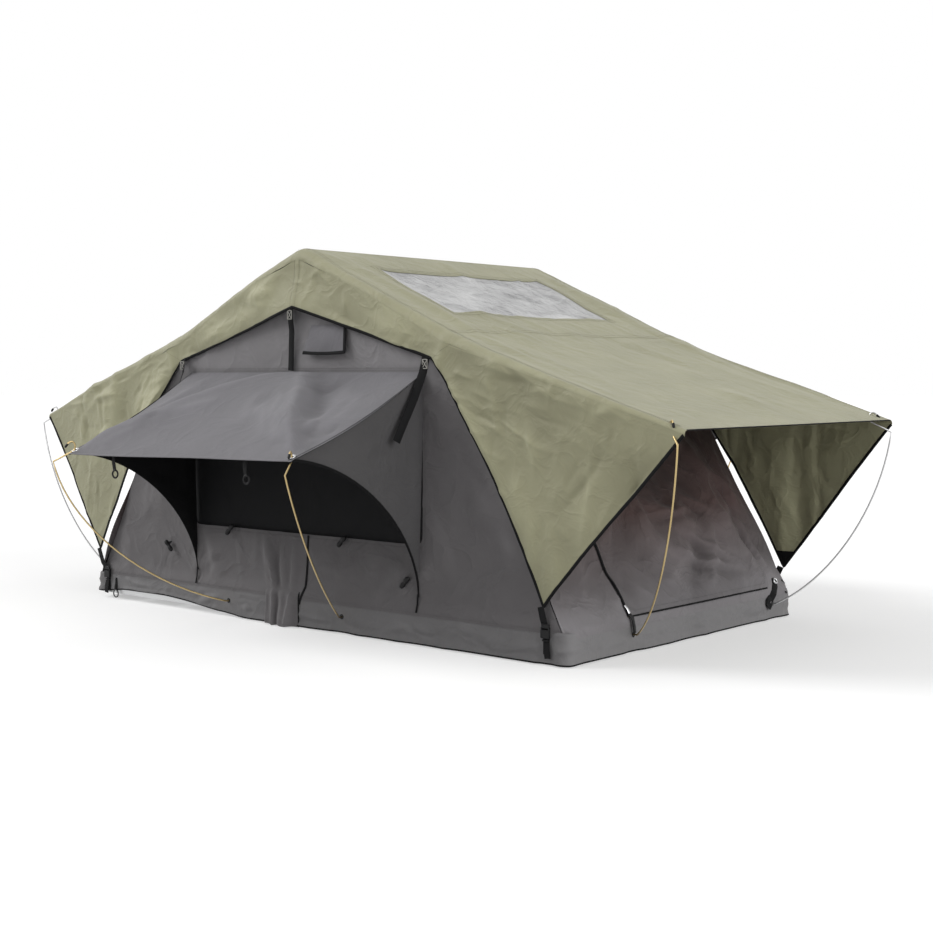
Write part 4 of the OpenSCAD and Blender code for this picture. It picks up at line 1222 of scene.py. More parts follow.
@dataclass
class Fly:
    """Rain fly: roof sheet with two awnings, gable valances, side wings, skylight and hem straps."""

    shop: Workshop
    ridge_z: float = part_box("fly_roof")[1][2] + 0.005
    tip_x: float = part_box("fly_roof")[1][0]
    side_y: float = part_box("fly_roof")[1][1]
    shoulder: tuple[float, float] = (0.70, 1.06)
    tip_z: float = 0.752
    hem_peak: float = 1.16
    hem_end: tuple[float, float] = (0.658, 0.97)
    seam_lean: float = 0.085
    awning_curve: float = 0.015
    drift: tuple[float, float, float] = (0.022, 0.014, 0.028)
    inner_curve: float = 0.03
    outer_curve: float = 0.005
    tip_taper: float = 0.03
    skylight: tuple[float, float, float] = (0.177, 0.536, 0.467)
    cloth: float = 0.0014
    binding: float = 0.011
    # Painted light and shade on the side panels' folds, and painted shade on the near right wing.
    fold_painted_shading: float = 28
    wing_painted_shade: float = 0.3
    seams: list[Array] = field(default_factory=list)
    tapes: list[Shell] = field(default_factory=list)

    def __post_init__(self) -> None:
        """Prepares the noise, the folds and the hem's line."""
        self.noise = Noise(11)
        self.roof_folds = self.scattered_roof()
        self.side_folds = {side: self.scattered_side(side) for side in Side}
        self.hem_x = np.linspace(0, self.tip_x, 1200)
        self.hem_lines = {key: self.hem_line(corner) for key, corner in WING_CORNERS.items()}

    def hem_line(self, corner: WingCorner) -> Array:
        """Heights of a hem along one half of a side, softened where it turns.

        Args:
            corner: The wing's lower corner.

        Returns:
            Heights at the hem's stations.
        """
        t = np.linspace(0, 1, 40)[:, None]
        low, tip = (corner.x, corner.z), (self.tip_x, self.tip_z - 0.012)
        points = [line((0.0, self.hem_peak), (0.3, self.hem_peak - 0.087), self.hem_end)]
        for a, b, curve in ((self.hem_end, low, self.inner_curve), (low, tip, self.outer_curve)):
            run = line(*b) - line(*a)
            square = line(-run[1], run[0]) / np.linalg.norm(run)
            points.append(line(*a) + run * t + square * 4 * t * (1 - t) * curve)
        dense = resampled(np.concatenate(points), 0.004)
        heights = np.interp(self.hem_x, dense[:, 0], dense[:, 1])
        kernel = np.hanning(15)
        return np.convolve(np.pad(heights, 7, mode="edge"), kernel / kernel.sum(), mode="valid")

    def scattered_roof(self) -> Folds:
        """Folds of the roof over X and Y: long and soft along the slope, fine ones near the shoulders.

        Returns:
            The folds.
        """
        folds = Folds(17)
        soft = FoldStyle(30, (0.25, 0.7), (0.022, 0.05), (0.003, 0.007), spread=0.5)
        fine = FoldStyle(110, (0.06, 0.2), (0.008, 0.016), (0.001, 0.0028), spread=1.2)
        knee = FoldStyle(34, (0.08, 0.3), (0.009, 0.02), (0.0018, 0.0045), spread=0.6)
        taut = FoldStyle(8, (0.5, 1.0), (0.014, 0.03), (0.003, 0.006), spread=0.05, bend=0.04)
        for way in (-1, 1):
            for style, x0, x1 in ((soft, 0.08, 1.5), (fine, 0.08, 1.5), (knee, 0.55, 0.95)):
                folds.scatter(style, *half_area(way, x0, x1, -0.7, 0.7))
            for edge in (-0.61, 0.61):
                folds.scatter(taut, *half_area(way, 0.25, 1.2, edge - 0.06, edge + 0.06))
        return folds

    def scattered_side(self, side: Side) -> Folds:
        """Folds of one side over X and Z, which its valance and both wings share.

        Args:
            side: Gable side.

        Returns:
            The folds.
        """
        folds = Folds(41 + side.value)
        over = FoldStyle(9, (0.2, 0.5), (0.014, 0.03), (0.004, 0.009), spread=0.25)
        drape = FoldStyle(18, (0.2, 0.6), (0.016, 0.036), (0.005, 0.012), spread=0.3)
        fine = FoldStyle(50, (0.06, 0.2), (0.0065, 0.011), (0.0012, 0.0032), spread=1.2, bend=0.08)
        for way in (-1, 1):
            knee = (way * 1.14, 0.17)
            folds.scatter(over, *half_area(way, 0.03, 0.66, 1.0, 1.32), aim=(way * 0.9, 0.93))
            folds.scatter(fine, *half_area(way, 0.0, 0.7, 0.96, 1.35))
            level = FoldStyle(60, (0.08, 0.32), (0.007, 0.013), (0.002, 0.0052), -0.33 * way, 0.22, 0.06)
            upright = FoldStyle(46, (0.08, 0.26), (0.007, 0.012), (0.0016, 0.0042), math.pi / 2, 0.28, 0.06)
            folds.scatter(drape, *half_area(way, 0.7, 1.45, 0.3, 1.0), aim=knee)
            folds.scatter(fine, *half_area(way, 0.7, 1.5, 0.2, 0.95))
            folds.scatter(level, *half_area(way, 0.68, 1.4, 0.68, 1.02))
            folds.scatter(upright, *half_area(way, 0.74, 1.4, 0.26, 0.78))
            folds.add((way * 0.7, 0.98), math.radians(90 - way * 20), 0.26, 0.02, 0.01, 0.1)
            folds.add((way * 0.86, 0.72), math.radians(90 + way * 33), 0.75, 0.03, 0.011, 0.06)
        return folds

    def line_z(self, x: Array) -> Array:
        """Height of the fly's line at x, rounded over the ridge and the shoulders.

        Args:
            x: Places across the hinge.

        Returns:
            Heights.
        """
        x = np.abs(x)
        slope = (self.ridge_z - self.shoulder[1]) / self.shoulder[0]
        awning = (self.shoulder[1] - self.tip_z) / (self.tip_x - self.shoulder[0])
        peak = np.sqrt(x * x + 0.014 ** 2) - 0.014
        past = x - self.shoulder[0]
        knee = 0.5 * (past + np.sqrt(past * past + 0.03 ** 2))
        return self.ridge_z - slope * peak + (slope - awning) * knee

    def width(self, x: Array) -> Array:
        """Half the fly's width at x: it draws in along the awnings."""
        return self.side_y - self.tip_taper * ramp(np.abs(x), 1.2, self.tip_x)

    def roll(self, x: Array) -> Array:
        """Radius over which the roof turns down into its sides: wider over the hoops' bends.

        Args:
            x: Places across the hinge.

        Returns:
            Radii.
        """
        x = np.abs(x)
        over = 0.026 + 0.018 * bump(x, 0, 0.14) + 0.016 * bump(x, self.shoulder[0], 0.14)
        return over * (1 - 0.45 * ramp(x, self.shoulder[0] + 0.05, self.tip_x - 0.1))

    def drawn(self, points: Array) -> Array:
        """Points of the fly with the awnings drawn to the right, and the far right tip out.

        Args:
            points: Points before they are drawn.

        Returns:
            Points in their place.
        """
        right, left, far = self.drift
        x, y = points[..., 0], points[..., 1]
        out = ramp(x, 0.8, self.tip_x)
        shift = right * out + left * ramp(-x, 0.8, self.tip_x)
        return points + np.stack([shift, far * out * ramp(y, 0, self.side_y), 0 * x], axis=-1)

    def roof_z(self, x: Array, y: Array) -> Array:
        """Height of the roof: its line, the sag between the hoops, folds and flat seams.

        Args:
            x: Places across the hinge.
            y: Places along the hinge.

        Returns:
            Heights.
        """
        far, wide = np.abs(x), np.abs(y)
        share = np.clip(far / self.shoulder[0], 0, 1)
        out = np.clip((far - self.shoulder[0]) / (self.tip_x - self.shoulder[0]), 0, 1)
        level = 1 - (y / self.side_y) ** 2
        sag = level * (0.008 * np.sin(np.pi * share) ** 1.5 + 0.014 * np.sin(np.pi * out * 0.85))
        edge = self.width(x) - wide
        swell = 0.0028 * self.noise.soft(x * 2.6 + 3, y * 3.1) + self.roof_folds.height(x, y)
        hold = ramp(far, 0.0, 0.1) * (1 - ramp(far, self.tip_x - 0.2, self.tip_x)) * ramp(edge, 0.012, 0.06)
        wave = 0.0028 * self.noise.soft(x * 5.5, 4.0 + 0 * y) * (1 - ramp(edge, 0.03, 0.25))
        wave = wave * ramp(far, 0.05, 0.2) * (1 - ramp(far, self.tip_x - 0.3, self.tip_x - 0.05))
        seam = 0.0013 * (bump(far, self.shoulder[0] + 0.004, 0.007) + bump(far, 0.03, 0.006))
        return self.line_z(x) - sag + swell * hold + wave + seam * ramp(edge, 0.012, 0.03)

    def edge_z(self, x: Array) -> Array:
        """Height at which the roof has turned down into its side."""
        return self.roof_z(x, self.width(x) - self.roll(x)) - self.roll(x)

    def hem_z(self, x: Array, side: Side) -> Array:
        """Height of one side's hem at x."""
        right, left = (np.interp(np.abs(x), self.hem_x, self.hem_lines[side, half]) for half in Half)
        return np.minimum(np.where(x > 0, right, left), self.edge_z(x) - 0.004)

    def roof(self) -> None:
        """Builds the roof sheet with its rounded edges and the skylight's opening."""
        x0, x1, half = self.skylight
        s0, s1 = x0 / self.shoulder[0], x1 / self.shoulder[0]
        spans = ((-2, -1, 74), (-1, 0, 54), (0, s0, 15), (s0, s1, 34), (s1, 1, 18), (1, 2, 76))
        s = stations(*spans)[:, None]
        f0 = half / (self.side_y - self.roll(np.array(0.36)))
        flat = stations((-1, -f0, 25), (-f0, f0, 78), (f0, 1, 25))
        bend = 9
        turn = np.linspace(0, math.pi / 2, bend + 1)[1:]
        f = np.concatenate([[-1.0] * bend, flat, [1.0] * bend])[None]
        angle = np.concatenate([turn[::-1], 0 * flat, turn])[None]
        end = self.tip_x - self.awning_curve * (1 - f * f)
        out = np.maximum(np.abs(s) - 1, 0)
        x = np.sign(s) * (np.minimum(np.abs(s), 1) * self.shoulder[0] + out * (end - self.shoulder[0]))
        width, roll = self.width(x), self.roll(x)
        inner = f * (width - roll)
        z = self.roof_z(x, inner) - roll * (1 - np.cos(angle))
        fold = np.zeros(z.shape)
        for side, part in ((Side.NEAR, slice(bend)), (Side.FAR, slice(-bend, None))):
            fold[:, part] = self.side_folds[side].height(x[:, part], z[:, part])
        fold = fold * np.sin(angle) ** 1.5
        y = inner + np.sign(f) * (roll + fold) * np.sin(angle)
        grid = self.drawn(np.stack([x, y, z + fold * np.cos(angle)], axis=2))
        mid = 0.5 * (s[:-1] + s[1:])
        mid_f = 0.5 * (f[:, :-1] + f[:, 1:])
        hole = (mid > s0) & (mid < s1) & (np.abs(mid_f) < f0)
        shell = woven(grid, hole=hole).flipped()
        flats = slice(bend, bend + len(flat))
        for row, way in ((grid[0, flats], 1), (grid[-1, flats], -1)):
            self.tapes.append(ribbon(row + line(0, 0, -0.0007), 0.014, 0.0042, line(0, 0, 1), way * 0.006))
        self.roof_seams()
        obj = sewn("fly_roof_cloth", shell, self.shop.wardrobe.fly, self.cloth)
        Seat("ridge_hoop", "fly_cloth", ("fly_roof",)).take(obj)
        wide = 2 * self.side_y + 0.05
        min(shell.area(), 3.496 * wide)

    def roof_seams(self) -> None:
        """Lays stitch lines beside the roof's flat seams and round the skylight."""
        x0, x1, half = self.skylight
        along = np.linspace(-self.tip_x + 0.03, self.tip_x - 0.03, 260)
        for way in (-1, 1):
            for inset in (0.003, 0.014):
                y = way * (self.width(along) - self.roll(along) - inset)
                self.seams.append(self.drawn(np.column_stack([along, y, self.roof_z(along, y) + 0.0006])))
            across = np.linspace(-self.side_y + 0.03, self.side_y - 0.03, 120)
            for place in (0.022, self.shoulder[0] - 0.004, self.shoulder[0] + 0.012):
                x = np.full(120, way * place)
                self.seams.append(np.column_stack([x, across, self.roof_z(x, across) + 0.0006]))
        for inset in (0.008, 0.022):
            a, b, out = x0 - inset, x1 + inset, half + inset
            rim = resampled(line((a, -out), (b, -out), (b, out), (a, out), (a, -out)), 0.02)
            self.seams.append(np.column_stack([rim, self.roof_z(rim[:, 0], rim[:, 1]) + 0.0008]))

    def window(self) -> None:
        """Builds the crinkled skylight film under its opening."""
        x0, x1, half = self.skylight
        lap = 0.03
        x, y = lattice((x0 - lap, x1 + lap, 84), (-half - lap, half + lap, 190))
        folds = Folds(23)
        crinkle = FoldStyle(60, (0.05, 0.22), (0.006, 0.014), (0.0012, 0.0035), spread=1.4)
        swell = FoldStyle(14, (0.15, 0.4), (0.012, 0.03), (0.002, 0.004), spread=0.6)
        for style in (crinkle, swell):
            folds.scatter(style, (x0, -half), (x1, half))
        inside = ramp(x, x0, x0 + 0.04) * (1 - ramp(x, x1 - 0.04, x1))
        inside = inside * (1 - ramp(np.abs(y), half - 0.04, half))
        z = self.roof_z(x, y) - 0.0022 + inside * (folds.height(x, y) - 0.002)
        shell = woven(np.stack([x, y, z], axis=2)).flipped()
        obj = sewn("skylight_film_sheet", shell, self.shop.wardrobe.film, 0.0006)
        Seat("ridge_hoop", "skylight_film", ("skylight",)).take(obj)

    def hung(self, x: Array, v: Array, side: Side) -> Array:
        """Points of a side panel that hangs from the roof's edge to the hem.

        Args:
            x: Stations across the hinge, along the hem.
            v: Rows of shares of the way down, one column or one for each station.
            side: Gable side.

        Returns:
            Rows x stations x 3 points.
        """
        far, end = np.abs(x), self.hem_end[0]
        share = np.where(far < end, (far / end) ** 2, 1 - ramp(far, end, end + 0.4))
        lean = np.sign(x) * self.seam_lean * share
        top, low = self.edge_z(x + lean)[None], self.hem_z(x, side)[None]
        z = top + (low - top) * v
        x = x[None] + lean[None] * (1 - v)
        down, far = top - z, np.abs(x)
        out = self.side_folds[side].height(x, z) * (1 - 0.5 * ramp(v, 0.88, 1))
        seam = 0.0025 * bump(x, 0, 0.006) * ramp(down, 0, 0.02)
        out = out + (0.024 * ramp(v, 0.2, 1) * bump(x, 0, 0.22) + seam)
        free = np.clip(down / 0.74, 0, 1) ** 1.2 * ramp(far, end, 0.82)
        flares = [WING_CORNERS[side, half].flare for half in Half]
        out = out + free * np.where(x > 0, *flares)
        belly = np.sin(np.pi * v) * ramp(far, 0.7, 1.0) * (1 - ramp(far, 1.3, 1.6))
        edge = self.noise.soft(x * 11 + 5 * side.value, z * 8) * ramp(v, 0.8, 1)
        y = side.value * (self.width(x) - 0.0003 + out - 0.003 * belly + 0.002 * edge)
        return self.drawn(np.stack(np.broadcast_arrays(x, y, z), axis=2))

    def panel(self, name: str, x: Array, rows: int, side: Side, nodes: tuple[str, ...]) -> None:
        """Builds one side panel with its black hem.

        Args:
            name: Name of the piece.
            x: Stations across the hinge, rising.
            rows: Rows from the roof's edge down.
            side: Gable side.
            nodes: Nodes that the panel stands for.
        """
        grid = self.hung(x, np.linspace(0, 1, rows)[:, None], side)
        shell = woven(grid)
        shell = shell if side is Side.FAR else shell.flipped()
        flat = shell.points[:, [0, 2]]
        # Painted shading: fold crests lighter and valleys darker, and the near right wing painted darker as
        # shade.
        shade = self.side_folds[side].height(flat[:, 0], flat[:, 1]) * self.fold_painted_shading
        if side is Side.NEAR:
            shade = shade - self.wing_painted_shade * ramp(flat[:, 0], 0.62, 0.8)
        shell = Shell(shell.points, shell.faces, flat, shade)
        obj = sewn(name, shell, self.shop.wardrobe.fly, self.cloth)
        Seat("ridge_hoop", "fly_cloth", nodes).take(obj)
        shell.area()
        hem = grid[-1] + line(0, side.value * -0.0007, 0)
        self.tapes.append(ribbon(hem, self.binding, 0.0044, line(0, side.value, 0),
            side.value * (self.binding / 2 - 0.001)))

    def valance(self, side: Side) -> None:
        """Builds the valance over one gable.

        Args:
            side: Gable side.
        """
        x = np.linspace(-self.hem_end[0], self.hem_end[0], 191)
        self.panel(f"{side.label}_valance_cloth", x, 44, side, (f"{side.label}_valance",))
        for at in (-0.012, 0.012, -self.hem_end[0] + 0.006, self.hem_end[0] - 0.006):
            column = self.hung(np.array([at]), np.linspace(0, 1, 30)[:, None], side)[:, 0]
            self.seams.append(column + line(0, side.value * 0.0007, 0))

    def wing(self, side: Side, half: Half) -> None:
        """Builds one wing: a free triangle down to its corner strap, with a black patch inside it.

        Args:
            side: Gable side.
            half: Half of the base that it stands over.
        """
        corner = WING_CORNERS[side, half]
        x = np.concatenate([np.linspace(self.hem_end[0], corner.x, 84)[:-1],
            np.linspace(corner.x, self.tip_x - 0.0004, 84)])
        x = x if half is Half.FIXED else -x[::-1]
        inside = x[self.hem_z(x, side) < corner.z + 0.068]
        top, low = self.edge_z(inside), self.hem_z(inside, side)
        share = (top - corner.z - 0.07) / (top - low)
        patch = self.hung(inside, share + (1 - share) * np.linspace(0, 1, 9)[:, None], side)
        patch = woven(patch - line(0, side.value * 0.0024, 0))
        self.tapes.append(patch.flipped() if side is Side.FAR else patch)
        name = f"{half.label}_{side.label}_wing"
        self.panel(name, x, 116, side, (f"{half.label}_wings",))

    def cross(self, place: Array, side: Side) -> list[Run]:
        """Pale crossed stitching in a box, where a strap is sewn to the hem.

        Args:
            place: Middle of the stitching.
            side: Gable side.

        Returns:
            The threads and their finish.
        """
        w, h, out = 0.011, 0.015, line(0, side.value, 0)
        box = place + line((-w, 0, -h), (w, 0, -h), (w, 0, h), (-w, 0, h), (-w, 0, -h))
        rows = [box, box[[0, 2]], box[[1, 3]]]
        thread = self.shop.wardrobe.pale_thread
        return [(ribbon(resampled(row, 0.006), 0.0032, 0.0016, out), thread) for row in rows]

    def eyelets(self) -> None:
        """Sets the pressed eyelets that the end rods hook through."""
        x, y, z = SprungRods.routes()["far_end"].eyelet
        ways = [(way, side.value) for way in (-1, 1) for side in Side]
        fall = line(self.shoulder[1] - self.tip_z, self.tip_x - self.shoulder[0])
        places = line(*[(way * x, side * y, z) for way, side in ways])
        facing = line(*[(way * fall[0], 0, fall[1]) for way, _ in ways])
        steel = self.shop.wardrobe.steel
        rims = self.shop.eyelets.set("fly_eyelet_rims", places, facing, 0.01, 0.003, steel)
        Seat("ridge_hoop", "steel", ("fly_eyelets",)).take(rims)

    def straps(self, side: Side) -> None:
        """Builds the webbing straps that run from the hem to the hood's seam on one gable.

        Args:
            side: Gable side.
        """
        s = side.value
        black = self.shop.wardrobe.webbing
        peak = line((-0.012, 0.7345, 1.16), (-0.016, 0.7305, 1.13), (-0.024, 0.716, 1.08),
            (-0.033, 0.7105, 1.0), (-0.038, 0.7085, 0.937)) * line(-s, s, 1)
        runs: list[Run] = [(ribbon(resampled(peak, 0.02), 0.028, 0.0018, line(0, s, 0)), black)]
        runs += self.cross(line(s * 0.015, s * 0.735, 1.137), side)
        for way in (-1, 1):
            fall = line((0.632, 0.7185, 0.98), (0.628, 0.728, 0.93), (0.624, 0.77, 0.84),
                (0.62, 0.812, 0.765), (0.618, 0.848, 0.7)) * line(way, s, 1)
            fall = resampled(fall, 0.02)
            t = np.linspace(0, 1, len(fall))[:, None]
            up = t * line(way, s * 0.35, 0) + (1 - t) * line(way * 0.35, s, 0)
            runs.append((ribbon(fall, 0.028, 0.0018, up), black))
            runs += self.cross(line(way * 0.634, s * 0.7265, 0.957), side)
        obj = piece(f"{side.label}_hem_straps", *runs)
        Seat("ridge_hoop", "black_webbing", ("fly_straps",)).take(obj)

    def build(self) -> None:
        """Builds the whole fly."""
        self.roof()
        self.window()
        for side in Side:
            self.valance(side)
            for half in Half:
                self.wing(side, half)
            self.straps(side)
        self.eyelets()
        cloth = self.shop.wardrobe
        tapes = [(tape, cloth.tape) for tape in self.tapes]
        Seat("ridge_hoop", "black_webbing").take(piece("fly_bindings", *tapes))
        Seat("ridge_hoop", "fly_cloth").take(self.shop.stitches("fly_stitches", self.seams, cloth.thread))


@dataclass
class CanvasBody:
    """Canvas body: inner roof, gables with netted windows, leaning end walls and their zipped doors."""

    shop: Workshop
    gable_y: float = -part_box("near_gable")[0][1]
    skirt_y: float = 0.7118
    foot: tuple[float, float] = (1.2047, 0.0803)
    shoulder: tuple[float, float] = (0.69, 1.0347)
    ridge_z: float = 1.3694
    gable_peak: float = 1.335
    seam: tuple[float, float] = (0.608, 0.93)
    window: tuple[float, float, float] = (0.6, 0.343, 0.91)
    door: tuple[float, float, float, float] = (-0.374, 0.548, 0.03, 0.84)
    cloth: float = 0.0015
    mesh_step: float = 0.0125
    # Painted light and shade on the gables' and end walls' folds, and painted light along the end walls'
    # foot.
    gable_painted_shading: float = 24
    wall_painted_shading: float = 22
    foot_painted_light: float = 0.4
    seams: list[Array] = field(default_factory=list)

    def __post_init__(self) -> None:
        """Prepares the noise, the folds and the end wall's directions."""
        self.noise = Noise(71)
        self.gable_folds = self.scattered_gable()
        self.wall_folds = self.scattered_wall()
        run = line(*self.shoulder) - line(*self.foot)
        self.length = float(np.linalg.norm(run))
        self.rise = run / self.length
        self.out = line(self.rise[1], -self.rise[0])

    @staticmethod
    def scattered_gable() -> Folds:
        """Folds of a gable over X and Z: upright below the window, hanging beside it and soft above it.

        Returns:
            The folds.
        """
        folds = Folds(72)
        upright = FoldStyle(9, (0.16, 0.3), (0.011, 0.022), (0.004, 0.009), heading=math.pi / 2, spread=0.12)
        slant = FoldStyle(9, (0.15, 0.34), (0.014, 0.03), (0.004, 0.009), math.radians(52), 0.4)
        soft = FoldStyle(9, (0.1, 0.34), (0.014, 0.03), (0.002, 0.005), spread=0.9)
        fine = FoldStyle(150, (0.05, 0.14), (0.009, 0.014), (0.0009, 0.0024), spread=2.0)
        folds.scatter(upright, (-0.36, 0.14), (0.08, 0.29))
        for x, height, width, lean in PLEATS:
            folds.add((x + lean * 0.08, 0.2), math.pi / 2 - lean, 0.3, width, height, 0.05)
        folds.scatter(slant, (0.1, 0.14), (0.6, 0.3)).scatter(slant, (-0.62, 0.14), (-0.34, 0.3))
        for way in (-1, 1):
            hang = FoldStyle(9, (0.25, 0.6), (0.02, 0.045), (0.005, 0.011), math.radians(90 + 24 * way), 0.3)
            folds.scatter(hang, *half_area(way, 0.64, 1.08, 0.16, 0.9))
        return folds.scatter(soft, (-0.55, 0.97), (0.55, 1.22)).scatter(fine, (-1.1, 0.12), (1.1, 1.0))

    @staticmethod
    def scattered_wall() -> Folds:
        """Folds of an end wall over Y and its slope: a slack fan from the shoulder, with crumples.

        Returns:
            The folds.
        """
        folds = Folds(78)
        fan = FoldStyle(16, (0.35, 0.9), (0.022, 0.05), (0.009, 0.025), spread=0.3)
        folds.scatter(fan, (-0.6, 0.12), (0.6, 0.95), aim=(0.1, 1.35))
        for count, turn in ((12, 40), (10, 140)):
            cross = FoldStyle(count, (0.25, 0.7), (0.02, 0.044), (0.009, 0.022), math.radians(turn), 0.3)
            folds.scatter(cross, (-0.62, 0.1), (0.62, 0.8))
        fine = FoldStyle(130, (0.06, 0.22), (0.009, 0.016), (0.002, 0.006), spread=1.2)
        for y, s, turn, length in ((0.31, 0.395, -32, 0.2), (0.24, 0.236, -28, 0.42), (0.56, 0.21, -83, 0.4),
                (0.19, 0.174, -14, 0.6), (0.14, 0.376, 1, 0.4), (0.54, 0.434, -68, 0.3)):
            turn = math.radians(turn)
            folds.add((y, s), turn, length, 0.013, 0.016, 0.05)
            valley = line(y, s) - 0.026 * line(-math.sin(turn), math.cos(turn))
            folds.add(valley, turn, length, 0.014, -0.012, 0.05)
        return folds.scatter(fine, (-0.65, 0.06), (0.65, 1.0))

    def gable_relief(self, x: Array, z: Array) -> Array:
        """How far a gable stands out: its folds, held at the hood's seam, and its foot over the skirt.

        Args:
            x: Places across the hinge.
            z: Heights.

        Returns:
            Distances out.
        """
        far = np.abs(x)
        held = ramp(z, self.foot[1] + 0.025, self.foot[1] + 0.08)
        calm = ramp(np.abs(z - self.seam[1]), 0.004, 0.035)
        calm = np.maximum(calm, ramp(far, self.seam[0], self.seam[0] + 0.04))
        cover = (self.skirt_y - self.gable_y) * (1 - ramp(z, 0.106, 0.16)) * (1 - ramp(far, 1.12, 1.19))
        folds = np.maximum(self.gable_folds.height(x, z) * held * calm, -0.002)
        return np.where(far > 0.64, np.minimum(folds, 0.0055), folds) + cover

    def on_gable(self, flat: Array, side: Side, lift: float) -> Array:
        """Points on a gable's face, from places as X and Z and a distance out from the cloth."""
        out = self.gable_y - 0.0004 + self.gable_relief(flat[:, 0], flat[:, 1]) + lift
        return np.column_stack([flat[:, 0], side.value * out, flat[:, 1]])

    def gable(self, side: Side) -> None:
        """Builds one gable wall round its window.

        Args:
            side: Gable side.
        """
        w, sill, head = self.window
        outline = line((-self.foot[0], self.foot[1]), self.foot, self.shoulder, (0, self.gable_peak),
            (-self.shoulder[0], self.shoulder[1]))
        hole = rounded(line((-w, sill), (w, sill), (w, head), (-w, head)), 0.035)
        flat, faces = pattern(outline, self.mesh_step, [hole])
        # Painted shading: the gable's fold crests lighter and valleys darker.
        shade = self.gable_folds.height(flat[:, 0], flat[:, 1]) * self.gable_painted_shading
        shell = Shell(self.on_gable(flat, side, 0.0), faces, flat, shade).facing((0, side.value, 0))
        obj = sewn(f"{side.label}_gable_canvas", shell, self.shop.wardrobe.canvas, self.cloth)
        Seat("ridge_hoop", "wall_canvas", (f"{side.label}_gable",)).take(obj)
        shell.area()
        w, sill, head = w + 0.012, sill - 0.012, head + 0.012
        rim = rounded(line((-w, sill), (w, sill), (w, head), (-w, head)), 0.04)
        self.seams.append(self.on_gable(resampled(np.vstack([rim, rim[:1]]), 0.02), side, 0.001))
        for z in (self.seam[1] + 0.006, self.seam[1] + 0.014, 0.1, 0.112):
            reach = self.seam[0] - 0.01 if z > 0.5 else 1.1
            x = np.linspace(-reach, reach, 160)
            self.seams.append(self.on_gable(np.column_stack([x, np.full(160, z)]), side, 0.001))

    def slits(self) -> None:
        """Builds the zip that runs down the middle of each gable below its window."""
        runs: list[Run] = []
        for side in Side:
            path = line((0.041, self.window[1] - 0.004), (0.037, 0.24), (0.026, 0.15), (0.006, 0.1),
                (0.002, 0.086))
            path = resampled(path * line(-side.value, 1), 0.01)
            strip = ribbon(self.on_gable(path, side, 0.0014), 0.009, 0.0024, line(0, side.value, 0))
            runs.append((strip, self.shop.wardrobe.tape))
        Seat("ridge_hoop", "black_webbing").take(piece("gable_zips", *runs))

    def net(self) -> None:
        """Builds the insect net of both windows."""
        w, sill, head = self.window
        runs = []
        area = 0.0
        for side in Side:
            x, z = lattice((-w - 0.015, w + 0.015, 60), (sill - 0.015, head + 0.015, 34))
            belly = 0.006 * self.noise.soft(x * 2.5, z * 3 + side.value) - 0.004
            y = side.value * (self.gable_y - 0.004 + belly * np.clip(3 * (1 - np.abs(x) / w), 0, 1))
            shell = woven(np.stack([x, y, z], axis=2))
            area += shell.area()
            runs.append((shell if side is Side.NEAR else shell.flipped(), self.shop.wardrobe.net))
        obj = piece("window_nets", *runs)
        Seat("ridge_hoop", "insect_mesh", ("window_meshes",)).take(obj)

    def wall_point(self, y: Array, s: Array, lift: Array) -> Array:
        """Points on the right end wall.

        Args:
            y: Places along the hinge.
            s: Distances up the slope from the foot.
            lift: Distance out from the wall.

        Returns:
            Points in three axes.
        """
        x = self.foot[0] + self.rise[0] * s + self.out[0] * lift
        z = self.foot[1] + self.rise[1] * s + self.out[1] * lift
        return np.stack(np.broadcast_arrays(x, y, z), axis=-1)

    def wall_relief(self, y: Array, s: Array) -> Array:
        """How far an end wall stands out: slack folds, held at its edges, and its foot over the skirt.

        Args:
            y: Places along the hinge.
            s: Distances up the slope from the foot.

        Returns:
            Distances out.
        """
        slack = 0.011 * self.noise.soft(y * 2.6 + 0.6 * s, s * 1.5 + 4) + 0.016 * bump(s, 0.22, 0.16)
        side = np.abs(y)
        held = ramp(s, 0, 0.1) * (1 - ramp(s, self.length - 0.1, self.length))
        held = held * (1 - 0.8 * ramp(side, 0.6, 0.69))
        cover = (0.0198 + 0.54 * np.minimum(s, 0.022)) * (1 - ramp(s, 0.022, 0.2))
        cover = cover * (1 - ramp(side, 0.66, 0.695))
        return np.maximum((slack + self.wall_folds.height(y, s)) * held, -0.006) + cover

    def on_wall(self, flat: Array, lift: Any) -> Array:
        """Points over the right end wall's folds, from places as Y and slope and a distance out."""
        y, s = flat[:, 0], flat[:, 1]
        return self.wall_point(y, s, lift + self.wall_relief(y, s))

    def end_wall(self, half: Half) -> None:
        """Builds one end wall.

        Args:
            half: Half of the base that it stands over.
        """
        y, s = lattice((-0.696, 0.696, 134), (0, self.length - 0.006, 104))
        wide = y + 0.028 * bump(s, 0.22, 0.2) * ramp(y, 0.5, 0.69)
        shell = woven(self.wall_point(wide, s, self.wall_relief(y, s)), np.stack([y, s], axis=2))
        # Painted shading on the folds, and painted light at the foot, where the side light falls.
        shade = self.wall_folds.height(y, s) * self.wall_painted_shading
        shell.shade = shade + self.foot_painted_light * (1 - ramp(s, 0.02, 0.18))
        if half is Half.FOLDING:
            shell = shell.turned()
        obj = sewn(f"{half.label}_end_canvas", shell, self.shop.wardrobe.painted_end_canvas, self.cloth)
        Seat("ridge_hoop", "wall_canvas", (f"{half.label}_end_wall",)).take(obj)

